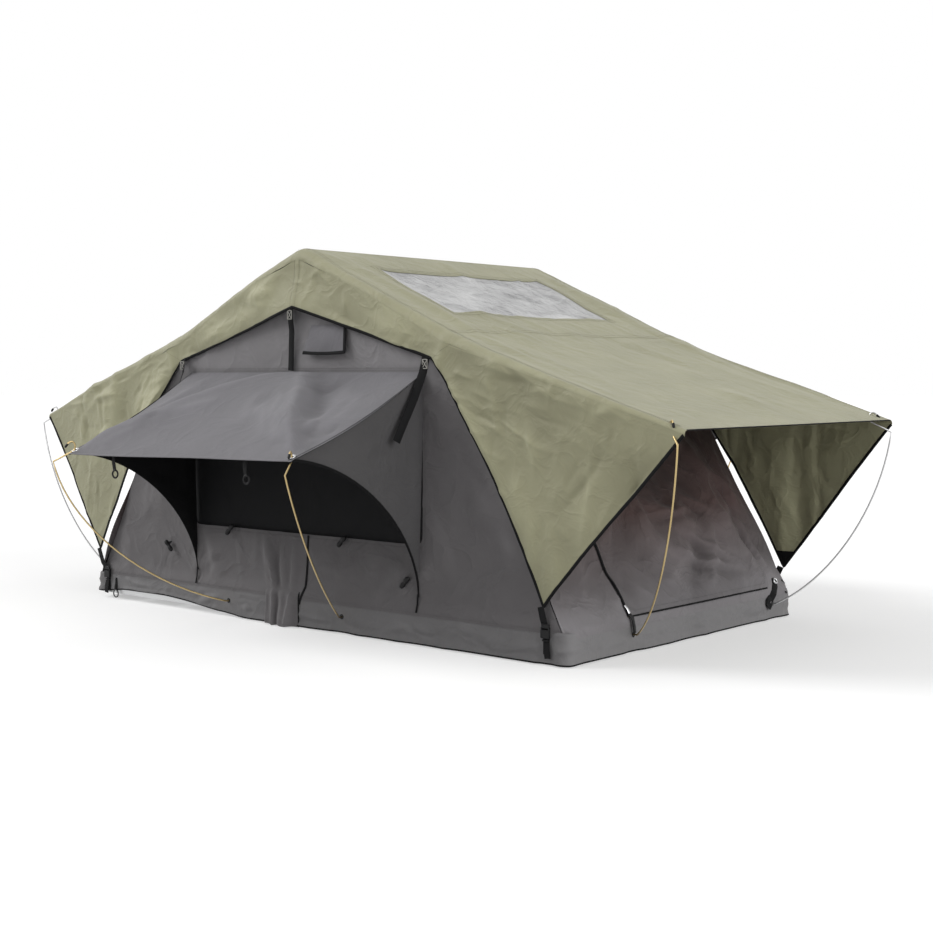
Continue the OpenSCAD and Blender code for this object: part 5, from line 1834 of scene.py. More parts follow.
    def end_door(self, half: Half) -> None:
        """Builds the zipped door on one end wall, with its zip, puller and tie loops.

        Args:
            half: Half of the base that it stands over.
        """
        y0, y1, s0, s1 = self.door
        corners = line((y0, s0), (y1, s0), (y1, s1), (y0, s1))
        outline = np.concatenate([rounded(corners, 0.025, 8)[:16], rounded(corners, 0.09, 8)[16:]])
        flat, faces = pattern(outline, self.mesh_step)
        y, s = flat[:, 0], flat[:, 1]
        edge = np.min([y - y0, y1 - y, s - s0, s1 - s], axis=0)
        swell = np.abs(0.005 + 0.005 * self.noise.soft(y * 4 + 2, s * 5)) * ramp(edge, 0.0, 0.08)
        # Painted shading: the door's fold crests lighter and valleys darker.
        shade = self.wall_folds.height(y, s) * self.wall_painted_shading
        shell = Shell(self.on_wall(flat, 0.0042 + swell), faces, flat, shade).facing((1, 0, 0))
        up = line(self.out[0], 0, self.out[1])
        rim = resampled(np.vstack([outline, outline[:1]]), 0.012)
        middle = line((y0 + y1) / 2, (s0 + s1) / 2)
        inner = middle + (rim - middle) * 0.955
        seam = self.on_wall(inner, 0.0085)
        upright = resampled(line((y0 + 0.01, s1 - 0.09), (y0, 0.45), (y0, s0)), 0.012)
        level = resampled(line((y0, s0), (y1 - 0.02, s0)), 0.012)
        path, foot = self.on_wall(upright, 0.0062), self.on_wall(level, 0.0062)
        tape = self.shop.wardrobe.tape
        runs = [(ribbon(path, 0.013, 0.0014, up), tape), (ribbon(foot, 0.006, 0.0012, up), tape)]
        runs += self.fittings(up)
        turned = half is Half.FOLDING
        way = line(-1, -1, 1) if turned else line(1, 1, 1)
        cloth = self.shop.wardrobe.painted_end_canvas
        obj = sewn(f"{half.label}_door_canvas", shell.turned() if turned else shell, cloth, self.cloth)
        Seat("ridge_hoop", "wall_canvas", (f"{half.label}_door",)).take(obj)
        wide, tall = y1 - y0, s1 - s0
        min(shell.area(), wide * tall)
        runs = [(run.turned() if turned else run, finish) for run, finish in runs]
        Seat("ridge_hoop", "black_webbing").take(piece(f"{half.label}_door_zip_tape", *runs))
        teeth = self.shop.zip(f"{half.label}_door_zip_teeth", (path + up * 0.0012) * way)
        Seat("ridge_hoop", "black_plastic").take(teeth)
        self.seams.append(seam * way)

    def fittings(self, up: Array) -> list[Run]:
        """The door's puller and the tie loops, tab and eyelet beside it, for the right end.

        Args:
            up: Direction out of the wall.

        Returns:
            Shells and their finishes.
        """
        cloth = self.shop.wardrobe

        def over(*places: Sequence[float]) -> Array:
            """Points over the wall's folds, each given along the hinge, up the slope and out."""
            spots = line(*places)
            return self.on_wall(spots[:, :2], spots[:, 2])

        y0 = self.door[0]
        pull = over((y0, 0.04, 0.008), (y0 + 0.004, 0.022, 0.013), (y0 + 0.012, 0, 0.014),
            (y0 + 0.02, -0.022, 0.012))
        slide = over((y0 - 0.004, 0.07, 0.009), (y0 - 0.001, 0.055, 0.012), (y0 + 0.002, 0.04, 0.01))
        tab = over((0.596, 0.06, 0.002), (0.59, 0.035, 0.004), (0.57, 0.008, 0.008), (0.55, -0.012, 0.004))
        loop = over((0.55, 0, 0.004), (0.53, -0.012, 0.01), (0.52, -0.03, 0.012), (0.535, -0.038, 0.01),
            (0.55, -0.024, 0.006))
        cord = over((0.66, 0.05, 0.004), (0.675, 0.04, 0.012), (0.685, 0.02, 0.016), (0.68, 0, 0.012),
            (0.665, 0.004, 0.006))
        eye = over((0.596, 0.05, 0.006))[0]
        return [(ribbon(pull, 0.016, 0.006, up), cloth.plastic),
            (ribbon(slide, 0.011, 0.005, up), cloth.steel),
            (ribbon(resampled(tab, 0.006), 0.03, 0.0024, up), cloth.webbing),
            (ribbon(resampled(loop, 0.006), 0.02, 0.0022, up), cloth.webbing),
            (tube(resampled(cord, 0.006), 0.003, up, 8), cloth.webbing),
            (ring(eye, up, 0.0095, 0.0036), cloth.steel)]

    def inner_roof(self) -> None:
        """Builds the inner roof that the hoops carry, drawn down along its edges."""
        x, y = lattice((-self.shoulder[0], self.shoulder[0], 61), (-0.694, 0.694, 60))
        share = np.abs(x) / self.shoulder[0]
        sag = 0.012 * np.sin(np.pi * share) * (1 - (y / 0.7) ** 2)
        sag = sag + 0.034 * ramp(np.abs(y), 0.58, 0.69) * (1 - share)
        z = self.ridge_z - (self.ridge_z - self.shoulder[1]) * share - sag - 0.0012
        shell = woven(np.stack([x, y, z], axis=2)).flipped()
        obj = sewn("inner_roof_canvas", shell, self.shop.wardrobe.canvas, self.cloth)
        Seat("ridge_hoop", "wall_canvas", ("inner_roof",)).take(obj)

    def build(self) -> None:
        """Builds the whole body."""
        self.inner_roof()
        for side in Side:
            self.gable(side)
        self.slits()
        self.net()
        for half in Half:
            self.end_wall(half)
            self.end_door(half)
        Seat("ridge_hoop", "wall_canvas").take(
            self.shop.stitches("body_stitches", self.seams, self.shop.wardrobe.dark_thread))


@dataclass
class WindowHood:
    """Hood over one side window: a propped top, two side gores, eyelets, tie straps and toggles."""

    shop: Workshop
    side: Side
    seam: tuple[float, float] = (0.7003, 0.93)
    edge: tuple[float, float] = (1.29, 0.655)
    half_width: float = 0.608
    taper: float = 0.022
    foot_z: float = 0.165
    facing: tuple[float, float] = (0.423, 0.906)
    sag: float = 0.022
    cloth: float = 0.0016
    slope: float = 0.65
    # Painted light and shade on the hood's folds.
    fold_painted_shading: float = 55

    def __post_init__(self) -> None:
        """Prepares the noise and the folds."""
        self.noise = Noise(90 + self.side.value)
        self.folds = Folds(94 + self.side.value)
        slack = FoldStyle(14, (0.15, 0.45), (0.018, 0.04), (0.0025, 0.006), 1.3, 0.4)
        crease = FoldStyle(60, (0.05, 0.16), (0.009, 0.014), (0.0004, 0.001), spread=2.0)
        self.folds.scatter(slack, (-0.5, 0.1), (0.5, 0.55))
        fine = FoldStyle(24, (0.07, 0.22), (0.009, 0.015), (0.0014, 0.004), spread=0.25)
        fan = FoldStyle(9, (0.25, 0.5), (0.016, 0.03), (0.006, 0.012), spread=0.07)
        for way in (-1, 1):
            self.folds.scatter(fan, *half_area(way, 0.2, 0.5, 0.12, 0.42), aim=(way * 0.56, 0.63))
            self.folds.scatter(fine, *half_area(way, 0.3, 0.58, 0.36, 0.62), aim=(way * 0.568, 0.64))
        self.folds.scatter(crease, (-0.55, 0.05), (0.55, 0.6))

    def placed(self, shell: Shell) -> Shell:
        """A shell made for the far side, put on this hood's side."""
        return shell if self.side is Side.FAR else shell.mirrored(1)

    def trim(self, name: str, runs: Sequence[Run]) -> Object:
        """One piece from shells made for the far side, put on this hood's side."""
        return piece(f"{self.side.label}_{name}", *[(self.placed(shell), finish) for shell, finish in runs])

    def point(self, x: Array, v: Array, lift: Array) -> Array:
        """Points on the hood's top, for the far side.

        Args:
            x: Places across the hinge.
            v: Share of the way from the seam to the free edge.
            lift: Distance out from the flat top.

        Returns:
            Points in three axes.
        """
        run = line(*self.edge) - line(*self.seam)
        out = line(-run[1], run[0]) / np.linalg.norm(run)
        slack = (1 - (x / self.half_width) ** 2) * v ** 2
        lift = lift - self.sag * np.sin(np.pi * np.clip(v, 0, 1)) * ramp(np.abs(x), 0.47, 0.6)
        y = self.seam[0] + run[0] * v + out[0] * lift - 0.014 * slack
        z = self.seam[1] + run[1] * v + out[1] * lift - 0.006 * slack - self.droop(x) * np.clip(v, 0, 1) ** 2
        return np.stack(np.broadcast_arrays(x, y, z), axis=-1)

    def droop(self, x: Array) -> Array:
        """How much lower the near hood's free edge hangs towards its left corner."""
        return 0.014 * ramp(-np.asarray(x), -0.2, 0.57) * (self.side is Side.NEAR)

    @staticmethod
    def off_crest(way: int, x: Array, v: Array) -> Array:
        """Distance along X past the crest that runs to one eyelet."""
        return way * x - (0.03 + 0.54 * v)

    def relief(self, x: Array, v: Array) -> Array:
        """Swell of the hood's top: a crest from the seam's middle to each eyelet, slack beside it.

        Args:
            x: Places across the hinge.
            v: Shares of the way from the seam to the free edge.

        Returns:
            Distances out from the flat top.
        """
        total = np.zeros(np.broadcast(x, v).shape)
        arch = np.sin(np.pi * np.clip(v, 0, 1)) ** 0.8
        for way in (-1, 1):
            off = self.off_crest(way, x, v)
            far = np.sqrt(off * off + 0.02 ** 2) - 0.02
            crest = np.exp(-far / np.where(off < 0, 0.15, 0.06))
            slack = ramp(off, 0.0, 0.12) * (1 - ramp(way * x, 0.46, self.half_width - 0.02))
            total = total + (0.05 * crest * (1 - ramp(way * x, 0.5, 0.6)) - 0.03 * slack) * arch
        soft = 0.004 * self.noise.soft(x * 3.4, v * 2.2) + self.folds.height(x, v * self.slope)
        return total + soft * ramp(v, 0, 0.12) * (1 - ramp(v, 0.9, 1)) * (1 - ramp(np.abs(x), 0.54, 0.59))

    def tone(self, x: Array, v: Array) -> Array:
        """Painted shading of the hood's top: its folds, and a painted highlight along each crest with painted
        shade beside it.

        Args:
            x: Places across the hinge.
            v: Shares of the way from the seam to the free edge.

        Returns:
            Painted light and shade.
        """
        total = self.folds.height(x, v * self.slope) * self.fold_painted_shading
        for way in (-1, 1):
            off = self.off_crest(way, x, v)
            # Painted highlight on the crest, painted shade just past it.
            total = total + 0.4 * bump(off, 0.0, 0.03) - 0.35 * bump(off, 0.085, 0.045)
        return total

    def top(self) -> None:
        """Builds the hood's top with its bound free edge."""
        x, v = lattice((-1, 1, 150), (0, 1, 80))
        x = x * (self.half_width - self.taper * v)
        grid = self.point(x, v, self.relief(x, v))
        shell = woven(grid, np.stack([x, v * self.slope], axis=2)).flipped()
        shell.shade = self.tone(x, v)
        shell = self.placed(shell)
        name = f"{self.side.label}_hood_top"
        obj = sewn(name, shell, self.shop.wardrobe.hood, self.cloth, self.shop.wardrobe.lining)
        node = f"{self.side.label}_hood"
        Seat(node, "hood_cloth", (node,)).take(obj)
        min(shell.area(), 1.216 * 0.66)
        self.rim = grid[:, -1]

    def gore(self, way: int) -> tuple[Shell, Array]:
        """One side gore, for the far side.

        Args:
            way: Sign along X.

        Returns:
            The gore and its free lower edge.
        """
        reach = self.edge[0] - self.seam[0]
        d = (np.linspace(0, 1, 72) ** 1.6 * reach)[:, None]
        t = np.linspace(0, 1, 64)[None]
        top = self.seam[1] - (self.seam[1] - self.edge[1]) * d / reach - self.sag * np.sin(np.pi * d / reach)
        drop = self.droop(way * self.half_width) * (d / reach) ** 2
        low = self.foot_z + (self.edge[1] - self.foot_z) * (1 - ((reach - d) / reach) ** 1.75) ** (1 / 1.75)
        top, low = top - drop, np.minimum(low - drop, top - drop - 0.002)
        z = top + (low - top) * t
        drop = np.clip((self.seam[1] - z) / 0.8, 0, 1)
        folds = Folds(101 + 2 * way + self.side.value)
        pull = FoldStyle(9, (0.2, 0.5), (0.018, 0.036), (0.003, 0.007), spread=0.25)
        fine = FoldStyle(40, (0.06, 0.16), (0.01, 0.015), (0.0006, 0.002), spread=1.2)
        folds.scatter(pull, (0.03, 0.35), (0.42, 0.8), aim=(reach, self.edge[1]))
        folds.scatter(fine, (0.02, 0.25), (0.5, 0.85))
        hold = np.sin(np.pi * np.clip(t, 0, 1)) ** 0.7 * ramp(d, 0, 0.06) * (1 - ramp(d, reach - 0.1, reach))
        sway = folds.height(d, z) - 0.01
        x = way * (self.half_width - self.taper * d / reach - 0.028 * drop + hold * sway)
        y = self.seam[0] + d + 0 * t
        grid = np.stack(np.broadcast_arrays(x, y, z), axis=2)
        shell = woven(grid, np.stack(np.broadcast_arrays(d, z), axis=2))
        return (shell.flipped() if way > 0 else shell), grid[:, -1]

    def gores(self) -> None:
        """Builds both gores and the binding round the hood's free edges."""
        label = self.side.label
        cloth = self.shop.wardrobe
        bindings: list[Run] = []
        for way in (-1, 1):
            shell, low = self.gore(way)
            shell = self.placed(shell).facing((way, 0, 0))
            hand = "right" if way > 0 else "left"
            obj = sewn(f"{label}_hood_{hand}_gore", shell, cloth.gore, self.cloth, cloth.lining)
            Seat(f"{label}_hood", "hood_cloth", (f"{label}_hood",)).take(obj)
            shell.area()
            bindings.append((ribbon(low, 0.009, 0.004, line(way, 0, 0)), cloth.tape))
            foot = low[0, 0]
            seam = line((foot, 0.7045, self.foot_z + 0.01), (foot, 0.7075, 0.14), (foot, 0.7142, 0.113))
            bindings.append((ribbon(resampled(seam, 0.012), 0.007, 0.003, line(0, 1, 0)), cloth.tape))
        bindings.append((ribbon(self.rim, 0.01, 0.0042, line(0, *self.facing)), cloth.hood))
        Seat(f"{label}_hood", "black_webbing").take(self.trim("hood_binding", bindings))

    def ties(self) -> None:
        """Builds the straps with rings under the free edge."""
        cloth = self.shop.wardrobe
        runs: list[Run] = []
        for x in (-0.345, 0.345):
            place = self.point(np.array(x), np.array(0.975), np.array(0.0))
            fall = place + line((0, -0.02, -0.001), (0, 0.0, -0.006), (0, 0.002, -0.03), (0.004, 0.0, -0.062))
            up = line((0, 0, 1), (0, 0.5, 0.7), (0, 1, 0), (0, 1, 0))
            runs.append((ribbon(fall, 0.018, 0.0026, up), cloth.webbing))
            loop = ring(place + line(0.006, 0, -0.073), line(0.3, 1, 0), 0.011, 0.003, 1.2)
            runs.append((loop, cloth.plastic))
        Seat(f"{self.side.label}_hood", "black_webbing").take(self.trim("hood_ties", runs))

    def toggles(self) -> None:
        """Builds the toggles on loops below the window and at the gores' feet."""
        runs: list[Run] = []
        y = self.seam[0] + 0.004
        for x, z, lean in ((-0.375, 0.335, 1), (0.227, 0.332, 1), (-0.742, 0.248, -1), (0.532, 0.212, 1)):
            loop = line((x, y + 0.001, z + 0.016), (x, y + 0.01, z + 0.008), (x, y + 0.012, z))
            runs.append((ribbon(loop, 0.016, 0.0024, line(0, 1, 0.3)), self.shop.wardrobe.webbing))
            t = np.linspace(0, 1, 13)
            reach = 0.058 * (t - 0.5)
            stem = np.column_stack([x + 0.7 * lean * reach, np.full(13, y + 0.013), z + 0.7 * reach])
            waist = 0.0092 * np.sqrt(np.clip(1 - (2 * t - 1) ** 6, 0.06, 1)) * (1 - 0.28 * bump(t, 0.5, 0.12))
            runs.append((spindle(stem, waist, line(0, 1, 0), 10), self.shop.wardrobe.plastic))
        Seat("ridge_hoop", "black_plastic").take(self.trim("window_toggles", runs))

    def build(self) -> None:
        """Builds the hood."""
        self.top()
        self.gores()
        self.ties()
        self.toggles()
        x, y, z = SprungRods.routes()["far_window"].eyelet
        places = line(*[(way * x, self.side.value * y, z + 0.0012 - self.droop(way * x)) for way in (-1, 1)])
        facing = line(*[(0, self.side.value * self.facing[0], self.facing[1])] * 2)
        steel = self.shop.wardrobe.steel
        rims = self.shop.eyelets.set(f"{self.side.label}_hood_eyelets", places, facing, 0.011, 0.004, steel)
        Seat(f"{self.side.label}_hood", "steel").take(rims)


@dataclass
class VentHood:
    """Small hood over a gable vent, with bound edges."""

    shop: Workshop
    side: Side
    top_z: float = 1.098
    wall_y: float = 0.7003
    left: float = 0.036
    width: float = 0.21
    height: float = 0.098
    tilt: float = math.radians(8)

    def build(self) -> None:
        """Builds the vent's cloth and its bound edges."""
        u, v = lattice((0, 1, 32), (0, 1, 18))
        x = self.left + 0.03 * (1 - v) + (self.width - 0.03 * (1 - v) * 1.3) * u
        out = self.height * v * math.sin(self.tilt) + 0.008 * np.sin(np.pi * u) * np.sin(np.pi * v)
        y = -(self.wall_y + out + 0.004)
        z = self.top_z - self.height * v * math.cos(self.tilt) - 0.003 * np.sin(np.pi * u) * v
        grid = np.stack([x, y, z], axis=2)
        shell = woven(grid).facing((0, -1, 0))
        cloth = self.shop.wardrobe
        turned = self.side is Side.FAR
        node = f"{self.side.label}_vent"
        obj = sewn(f"{node}_cloth", shell.turned() if turned else shell, cloth.hood, 0.0015, cloth.lining)
        Seat(node, "hood_cloth", (node,)).take(obj)
        min(shell.area(), 0.215 * 0.102)
        rim = np.concatenate([grid[:, -1], grid[-1, -2::-1]])
        strip = ribbon(rim, 0.013, 0.004, line(0, -1, 0.3))
        runs = [(strip.turned() if turned else strip, cloth.tape)]
        Seat(node, "black_webbing").take(piece(f"{node}_edges", *runs))


@dataclass
class BaseHalf:
    """Soft trim of one half of the base: skirt, mattress, and corner straps with buckles."""

    shop: Workshop
    half: Half
    end_x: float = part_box("fixed_skirt")[1][0]
    side_y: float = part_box("fixed_skirt")[1][1]
    corner: float = 0.031
    hem_z: float = 0.005
    top_z: float = 0.105
    strap_x: float = 1.14
    ring_x: float = 1.08
    skirt_rows: int = 21
    # Painted light on the skirt's end side.
    end_painted_light: float = 0.5
    pad_levels: tuple[tuple[float, float], ...] = ((0.02, 0), (0.006, 0.0), (0.0015, 0.1), (0.0, 0.3),
        (0.0015, 0.5), (0.0, 0.7), (0.002, 0.86), (0.008, 0.94), (0.02, 0.975), (0.05, 0.985), (0.12, 0.992),
        (0.24, 0.997), (0.4, 1.0), (0.52, 1.0))
    buckle: tuple[tuple[float, ...], ...] = ((-0.017, 0.017, 0.088, 0.116, 0.0105),
        (-0.015, 0.015, 0.119, 0.134, 0.008), (-0.0175, -0.0125, 0.096, 0.124, 0.0085),
        (0.0125, 0.0175, 0.096, 0.124, 0.0085), (-0.013, 0.013, 0.078, 0.084, 0.007))

    def __post_init__(self) -> None:
        """Prepares the noise."""
        self.noise = Noise(130 + self.half.value)

    def plan(self) -> tuple[Array, Array]:
        """The skirt's path in plan for the right half, and its outward directions.

        Returns:
            The path's points and a direction for each.
        """
        x1, y1, r = self.end_x - self.corner, self.side_y - self.corner, self.corner
        turn = np.linspace(0, math.pi / 2, 9)
        near = np.column_stack([x1 + r * np.sin(turn), -y1 - r * np.cos(turn)])
        far = np.column_stack([x1 + r * np.cos(turn), y1 + r * np.sin(turn)])
        path = np.concatenate([line((0.0012, -self.side_y)), near, far, line((0.0012, self.side_y))])
        path = resampled(path, 0.009)
        tangent = np.gradient(path, axis=0)
        tangent /= np.linalg.norm(tangent, axis=1, keepdims=True)
        return path, np.column_stack([tangent[:, 1], -tangent[:, 0]])

    def hem_lift(self, path: Array) -> Array:
        """How far the hem is drawn up: the folding half's near side is, between its corner and the hinge.

        Args:
            path: The skirt's path in plan.

        Returns:
            Heights above the hem's line.
        """
        wave = 0.003 * self.noise.soft(path[:, 0] * 5, path[:, 1] * 5)
        if self.half is Half.FIXED:
            return np.abs(wave)
        near = ramp(-path[:, 1], 0.6, 0.7)
        drawn = near * 0.042 * ramp(path[:, 0], 0.24, 0.8)
        return np.abs(wave) + drawn * (1 - 0.4 * ramp(path[:, 0], 1.0, 1.2))

    def clearance(self, path: Array) -> Array:
        """Share of the folds that each station keeps: none at the rods' sockets, the straps and the ring.

        Args:
            path: The skirt's path in plan.

        Returns:
            Shares between 0 and 1.
        """
        clear = np.ones(len(path))
        turn = -1 if self.half is Half.FOLDING else 1
        for x, y, _ in (route.socket for route in SprungRods.routes().values()):
            clear = clear * ramp(np.hypot(path[:, 0] - x, path[:, 1] - turn * y), 0.02, 0.07)
        for y in (-self.side_y, self.side_y):
            clear = clear * ramp(np.hypot(path[:, 0] - self.strap_x, path[:, 1] - y), 0.02, 0.05)
        if self.half is Half.FOLDING:
            clear = clear * ramp(np.hypot(path[:, 0] - self.ring_x, path[:, 1] + self.side_y), 0.026, 0.06)
        return clear

    def skirt(self) -> None:
        """Builds the skirt with soft folds and a piped hem."""
        path, out = self.plan()
        run = np.concatenate([[0], np.cumsum(np.linalg.norm(np.diff(path, axis=0), axis=1))])[:, None]
        t = np.linspace(0, 1, self.skirt_rows)[None]
        low = self.hem_z + self.hem_lift(path)[:, None]
        z = low + (self.top_z - 0.004 - low) * t
        folds = Folds(134 + self.half.value)
        whole = float(run[-1, 0])
        level = FoldStyle(64, (0.12, 0.4), (0.007, 0.015), (0.002, 0.006), spread=0.16)
        upright = FoldStyle(40, (0.06, 0.12), (0.008, 0.016), (0.0015, 0.004), 1.3, 0.4)
        for style in (level, upright):
            folds.scatter(style, (0.0, 0.02), (whole, 0.09))
        clear = self.clearance(path)[:, None]
        swell = np.abs(folds.height(run, z)) * np.sin(np.pi * np.clip(t, 0, 1)) ** 0.6 * clear
        offset = swell + 0.006 * (1 - ramp(t, 0, 0.3)) * clear
        roll = np.array([(-0.0016, -0.0012), (-0.0042, 0.0004), (-0.0098, 0.0014)])
        offset = np.concatenate([offset] + [np.full((len(path), 1), dx) for dx, _ in roll], axis=1)
        z = np.concatenate([z] + [np.full((len(path), 1), self.top_z + dz) for _, dz in roll], axis=1)
        flat = path[:, None] + out[:, None] * offset[:, :, None]
        grid = np.concatenate([flat, z[:, :, None]], axis=2)
        shell = woven(grid, np.stack(np.broadcast_arrays(run, z), axis=2))
        # Painted light: the skirt is lighter where it faces out at the end, as if lit from that side.
        shell.shade = np.broadcast_to(self.end_painted_light * out[:, :1] ** 2, z.shape)
        pipe = tube(grid[:, 0] + line(0, 0, 0.001), 0.0032, line(0, 0, 1), 8)
        if self.half is Half.FOLDING:
            shell, pipe = shell.mirrored(0), pipe.mirrored(0)
        name = f"{self.half.name.lower()}_skirt"
        cloth = self.shop.wardrobe
        obj = sewn(f"{name}_cloth", shell, cloth.skirt, 0.0016)
        Seat(self.half.body, "skirt_cloth", (name,), gathers=False).take(obj)
        Seat(self.half.body, "black_webbing", gathers=False).take(piece(f"{name}_piping", (pipe, cloth.tape)))
        seam = grid[:, self.skirt_rows - 2] + np.concatenate([out * 0.0009, np.zeros((len(out), 1))], axis=1)
        seam = seam * line(self.half.value, 1, 1)
        stitches = self.shop.stitches(f"{name}_stitches", [seam], cloth.dark_thread, 0.009)
        Seat(self.half.body, "skirt_cloth", gathers=False).take(stitches)

    def mattress(self) -> None:
        """Builds the mattress half: a crowned foam pad with piped edges."""
        low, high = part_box(f"{self.half.name.lower()}_mattress")
        x0, x1 = sorted((abs(low[0]), abs(high[0])))
        y1, z0, z1 = high[1], low[2], high[2]
        outline = rounded(line((x0, -y1), (x1, -y1), (x1, y1), (x0, y1)), 0.05, 9)
        outline = resampled(np.vstack([outline, outline[:1]]), 0.03)[:-1]
        middle, half = line((x0 + x1) / 2, 0), line((x1 - x0) / 2, y1)
        rings = []
        for inset, level in self.pad_levels:
            pull = 1 + 0.0015 * self.noise.soft(outline[:, 0] * 6, outline[:, 1] * 6 + level)
            ring_xy = middle + (outline - middle) * ((half - inset) / half) * np.minimum(pull, 1)[:, None]
            wave = 0.004 * np.abs(self.noise.soft(ring_xy[:, 0] * 3, ring_xy[:, 1] * 3)) * (level > 0.97)
            rings.append(np.column_stack([ring_xy, z0 + (z1 - z0) * level - wave]))
        points = np.concatenate(rings)
        shell = Shell(points, ring_faces(len(rings), len(outline)), points[:, :2] + points[:, 2:])
        piping = []
        for level in (0.04, 0.93):
            inset = middle + (outline - middle) * ((half - 0.006) / half)
            edge = np.column_stack([inset, np.full(len(inset), z0 + (z1 - z0) * level)])
            piping.append(tube(np.vstack([edge, edge[:1]]), 0.0028, line(0, 0, 1), 6))
        if self.half is Half.FOLDING:
            shell, piping = shell.mirrored(0), [pipe.mirrored(0) for pipe in piping]
        name = f"{self.half.name.lower()}_mattress"
        cloth = self.shop.wardrobe
        obj = piece(f"{name}_pad", (shell, cloth.mattress), *[(pipe, cloth.tape) for pipe in piping])
        Seat(self.half.body, "mattress_cover", (name,), gathers=False).take(obj)

    def corner_straps(self) -> None:
        """Builds the webbing and side-release buckles that hold the wings' corners down."""
        runs: list[Run] = []
        black, hard = self.shop.wardrobe.webbing, self.shop.wardrobe.plastic
        x = self.strap_x
        for side in Side:
            s, corner = side.value, WING_CORNERS[side, self.half]
            y = s * (self.side_y + 0.0032)
            fall = line((corner.x, y + s * (corner.flare + 0.002), corner.z + 0.008),
                (0.6 * corner.x + 0.4 * x, y + s * (0.55 * corner.flare + 0.002), 0.15),
                (x, y, 0.112), (x, y, 0.06), (x, y, 0.036))
            up = line(0, s, 0.4 * (corner.flare > 0.02))
            runs.append((ribbon(resampled(fall, 0.012), 0.025, 0.0018, up), black))
            tail = line((x + 0.003, y + s * 0.004, 0.075), (x + 0.006, y + s * 0.007, 0.05),
                (x + 0.009, y + s * 0.005, 0.024))
            runs.append((ribbon(resampled(tail, 0.01), 0.024, 0.0018, line(0, s, 0.1)), black))
            for x0, x1, z0, z1, depth in self.buckle:
                ys = sorted((y + s * 0.001, y + s * (0.001 + depth)))
                runs.append((block((x + x0, ys[0], z0), (x + x1, ys[1], z1), 0.0016), hard))
        hand = self.half.label
        runs = [(shell.mirrored(0) if self.half is Half.FOLDING else shell, finish) for shell, finish in runs]
        obj = piece(f"{hand}_corner_straps", *runs, sharp=30)
        Seat(self.half.body, "black_plastic", (f"{hand}_corner_buckles",), gathers=False).take(obj)

    def build(self) -> None:
        """Builds this half's trim."""
        self.skirt()
        self.mattress()
        self.corner_straps()


@dataclass
class HingeTrim:
    """Flaps over the hinge line and the loop that holds the hanging ring."""

    shop: Workshop
    flap_x: tuple[float, float] = (-0.18, -0.001)
    wall_y: float = 0.7106
    low: float = 0.002
    high: float = 0.15
    ring_x: float = -1.09
    # Painted light and shade on the flaps' folds.
    fold_painted_shading: float = 24

    def flap(self, side: Side) -> tuple[Shell, Array]:
        """One flap with upright folds that open towards its hem.

        Args:
            side: Gable side.

        Returns:
            The flap and its rows of points.
        """
        x, t = lattice((*self.flap_x, 64), (0, 1, 30))
        z = self.low + (self.high - self.low) * t
        share = (x - self.flap_x[0]) / (self.flap_x[1] - self.flap_x[0])
        folds = Folds(151 + side.value)
        for pleat, height, width, lean in PLEATS:
            folds.add((pleat - lean * 0.06, 0.05), math.pi / 2 - lean, 0.32, width, height, 0.05)
        belly = 0.02 * np.sin(np.pi * np.clip(share, 0, 1)) ** 0.6 * (1 - ramp(t, 0, 0.7))
        fold = folds.height(x, z) * (1 - ramp(t, 0.75, 1)) * ramp(share, 0, 0.08) * (1 - ramp(share, 0.95, 1))
        wall = self.wall_y - 0.0081 + 0.0117 * (1 - ramp(z, 0.106, 0.16)) - 0.0042 * ramp(t, 0.72, 1)
        y = side.value * (wall + fold + belly)
        sway = 0.0014 * np.sin(share * 17 + side.value) * (1 - t)
        grid = np.stack([x, y, z + sway], axis=2)
        shell = woven(grid, np.stack([x, z], axis=2))
        # Painted shading: fold crests lighter and valleys darker.
        shell.shade = fold * self.fold_painted_shading
        return shell.facing((0, side.value, 0)), grid

    def flaps(self) -> None:
        """Builds the flaps on both sides, with their seams and the black edge over the slit."""
        cloth = self.shop.wardrobe
        shells, seams, edges = [], [], []
        for side in Side:
            shell, grid = self.flap(side)
            shells.append(shell)
            out = line(0, side.value * 0.0012, 0)
            seams.append(grid[:, 2] + out)
            edges.append((ribbon(grid[-1], 0.006, 0.003, line(0, side.value, 0)), cloth.tape))
        area = sum(shell.area() for shell in shells)
        first, second = shells
        faces = first.faces + [tuple(i + len(first.points) for i in f) for f in second.faces]
        whole = Shell(np.vstack([first.points, second.points]), faces, np.vstack([first.uv, second.uv]),
            np.concatenate([first.shade, second.shade]))
        obj = sewn("hinge_flap_cloth", whole, cloth.canvas, 0.0015)
        Seat("folding_base", "skirt_cloth", ("hinge_flaps",), gathers=False).take(obj)
        Seat("folding_base", "black_webbing", gathers=False).take(piece("hinge_flap_edges", *edges))
        stitches = self.shop.stitches("hinge_flap_stitches", seams, cloth.dark_thread)
        Seat("folding_base", "skirt_cloth", gathers=False).take(stitches)

    def ring_loop(self) -> None:
        """Builds the webbing loop that holds the hanging ring."""
        path = line((-0.7106, 0.09), (-0.7106, 0.06), (-0.7116, 0.043), (-0.7148, 0.0405), (-0.718, 0.043),
            (-0.7168, 0.055), (-0.7132, 0.066), (-0.7126, 0.085)) - line(0.0009, 0)
        ahead = np.gradient(path, axis=0)
        loop = np.column_stack([np.full(len(path), self.ring_x), path])
        up = np.column_stack([np.zeros(len(path)), ahead[:, 1], -ahead[:, 0]])
        strip = ribbon(loop, 0.012, 0.0014, up)
        Seat("folding_base", "black_webbing", ("ring_loop",), gathers=False).take(
            piece("ring_loop_webbing", (strip, self.shop.wardrobe.webbing)))

    def build(self) -> None:
        """Builds the flaps and the ring's loop."""
        self.flaps()
        self.ring_loop()


@dataclass(frozen=True)
class RodRoute:
    """Where one sprung rod of the right half runs."""

    socket: tuple[float, float, float]
    out: tuple[float, float, float]
    eyelet: tuple[float, float, float]
    slack: float = 1.0


